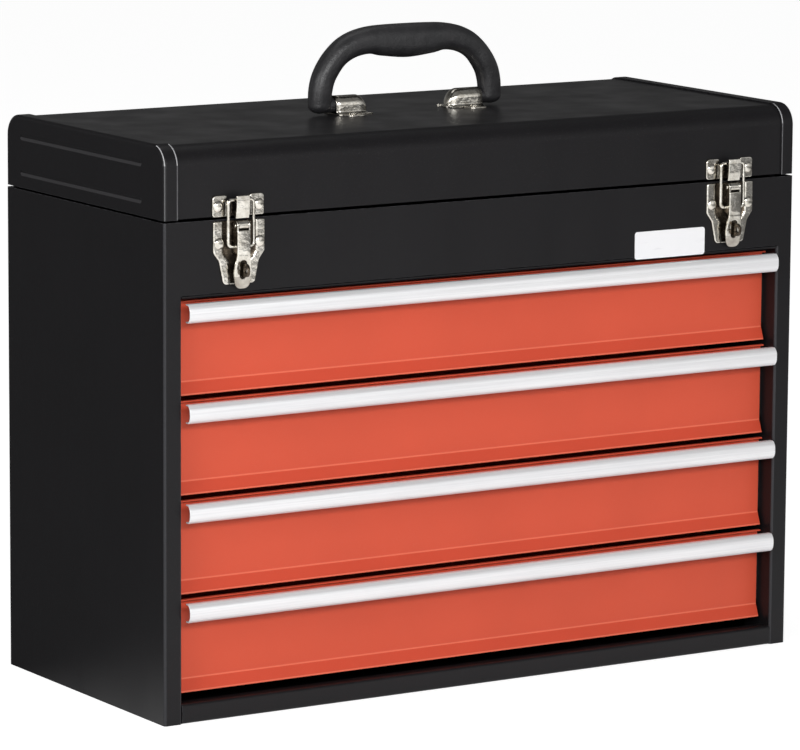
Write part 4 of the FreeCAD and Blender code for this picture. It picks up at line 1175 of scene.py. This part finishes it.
def world():
    """Soft light all round, with the backdrop in the camera's and mirrored rays."""
    studio = bpy.data.worlds.new("studio")
    bpy.context.scene.world = studio
    studio.use_nodes = True
    nodes = Nodes(studio.node_tree)
    nodes.tree.nodes.remove(nodes.tree.nodes["Background"])
    direction = nodes.node("ShaderNodeTexCoord").outputs["Generated"]
    seen, _, level = backdrop(nodes, direction, WORLD_FALLS)
    soft = nodes.node("ShaderNodeBackground", {"Color": WHITE, "Strength": WORLD_SOFT})
    white = nodes.node("ShaderNodeBackground", {"Color": WHITE, "Strength": level})
    mix = nodes.node("ShaderNodeMixShader", {0: seen, 1: soft.outputs[0], 2: white.outputs[0]})
    nodes.plug(nodes.tree.nodes["World Output"].inputs["Surface"], mix.outputs[0])


def floor():
    """A pale floor that reads white to the camera and still takes the part's shadow."""
    corners = [(p.x, p.y, 0) for p in oblong(-FLOOR_HALF, FLOOR_HALF, -FLOOR_HALF, FLOOR_HALF)]
    mesh = bpy.data.meshes.new("floor")
    mesh.from_pydata(corners, [], [(0, 1, 2, 3)])
    ground = placed("floor", mesh)
    material = bpy.data.materials.new("pale_floor")
    material.use_nodes = True
    nodes = Nodes(material.node_tree)
    nodes.tree.nodes.remove(nodes.tree.nodes["Principled BSDF"])
    place = nodes.node("ShaderNodeNewGeometry").outputs["Position"]
    seen, turned, level = backdrop(nodes, place, FLOOR_FALLS)
    glowing = nodes.math("MULTIPLY", nodes.math("MULTIPLY", seen, level), FLOOR_GLOW)
    dim = nodes.math("MULTIPLY", nodes.math("SUBTRACT", 1.0, level), turned)
    shade = nodes.math("MULTIPLY", nodes.math("SUBTRACT", 1.0, dim), FLOOR_SHADE)
    matt = nodes.node("ShaderNodeBsdfDiffuse", {"Color": shade})
    glow = nodes.node("ShaderNodeEmission", {"Strength": glowing})
    both = nodes.node("ShaderNodeAddShader", {0: matt.outputs[0], 1: glow.outputs[0]})
    nodes.plug(nodes.tree.nodes["Material Output"].inputs["Surface"], both.outputs[0])
    mesh.materials.append(material)


# Name, place, aim, size, power.
LAMPS = (
    ("key", (-0.8, -2.5, 1.06), (0, 0, 0.12), (1.6, 0.5), 36.5),
    ("fill", (-2.2, -0.9, 1.1), (0, 0, 0.2), (1.2, 1.2), 18.0),
    ("top", (0, 0.4, 2.2), (0, 0, 0.3), (1.6, 1.0), 5.0),
)


def lamp(name, place, aim, size, power):
    """A soft rectangular lamp turned to its aim."""
    light = bpy.data.lights.new(name, "AREA")
    light.shape = "RECTANGLE"
    light.size, light.size_y = size
    light.energy = power
    made = placed(name, light)
    made.location = place
    made.rotation_euler = (Vector(aim) - Vector(place)).to_track_quat("-Z", "Y").to_euler()


# The camera fitted to the photograph, in degrees, millimetres and pixels.
AZIMUTH = -32.19
ELEVATION = 9.50
ROLL = 0.36
AIM_ACROSS = -1.2
AIM_UP = 196.9
DISTANCE = 3575.0
FOCAL_PIXELS = 5044.0
IMAGE_WIDTH = 800
SENSOR = 36.0


def camera():
    """The photograph's view."""
    azimuth, elevation, roll = (math.radians(a) for a in (AZIMUTH, ELEVATION, ROLL))
    back = Vector((math.sin(azimuth) * math.cos(elevation), -math.cos(azimuth) * math.cos(elevation),
                   math.sin(elevation)))
    level = Vector((0, 0, 1)).cross(back).normalized()
    plumb = back.cross(level)
    right = level * math.cos(roll) + plumb * math.sin(roll)
    up = plumb * math.cos(roll) - level * math.sin(roll)
    eye = (right * AIM_ACROSS + up * AIM_UP + back * DISTANCE) * MM
    lens = bpy.data.cameras.new("view")
    lens.sensor_width = SENSOR
    lens.lens = FOCAL_PIXELS * SENSOR / IMAGE_WIDTH
    lens.clip_start, lens.clip_end = 0.1, 50.0
    made = placed("view", lens)
    made.matrix_world = Matrix((
        (right.x, up.x, back.x, eye.x), (right.y, up.y, back.y, eye.y), (right.z, up.z, back.z, eye.z),
        (0, 0, 0, 1)))
    bpy.context.scene.camera = made


world()
floor()
for values in LAMPS:
    lamp(*values)
camera()
bpy.context.scene.view_settings.view_transform = "Standard"
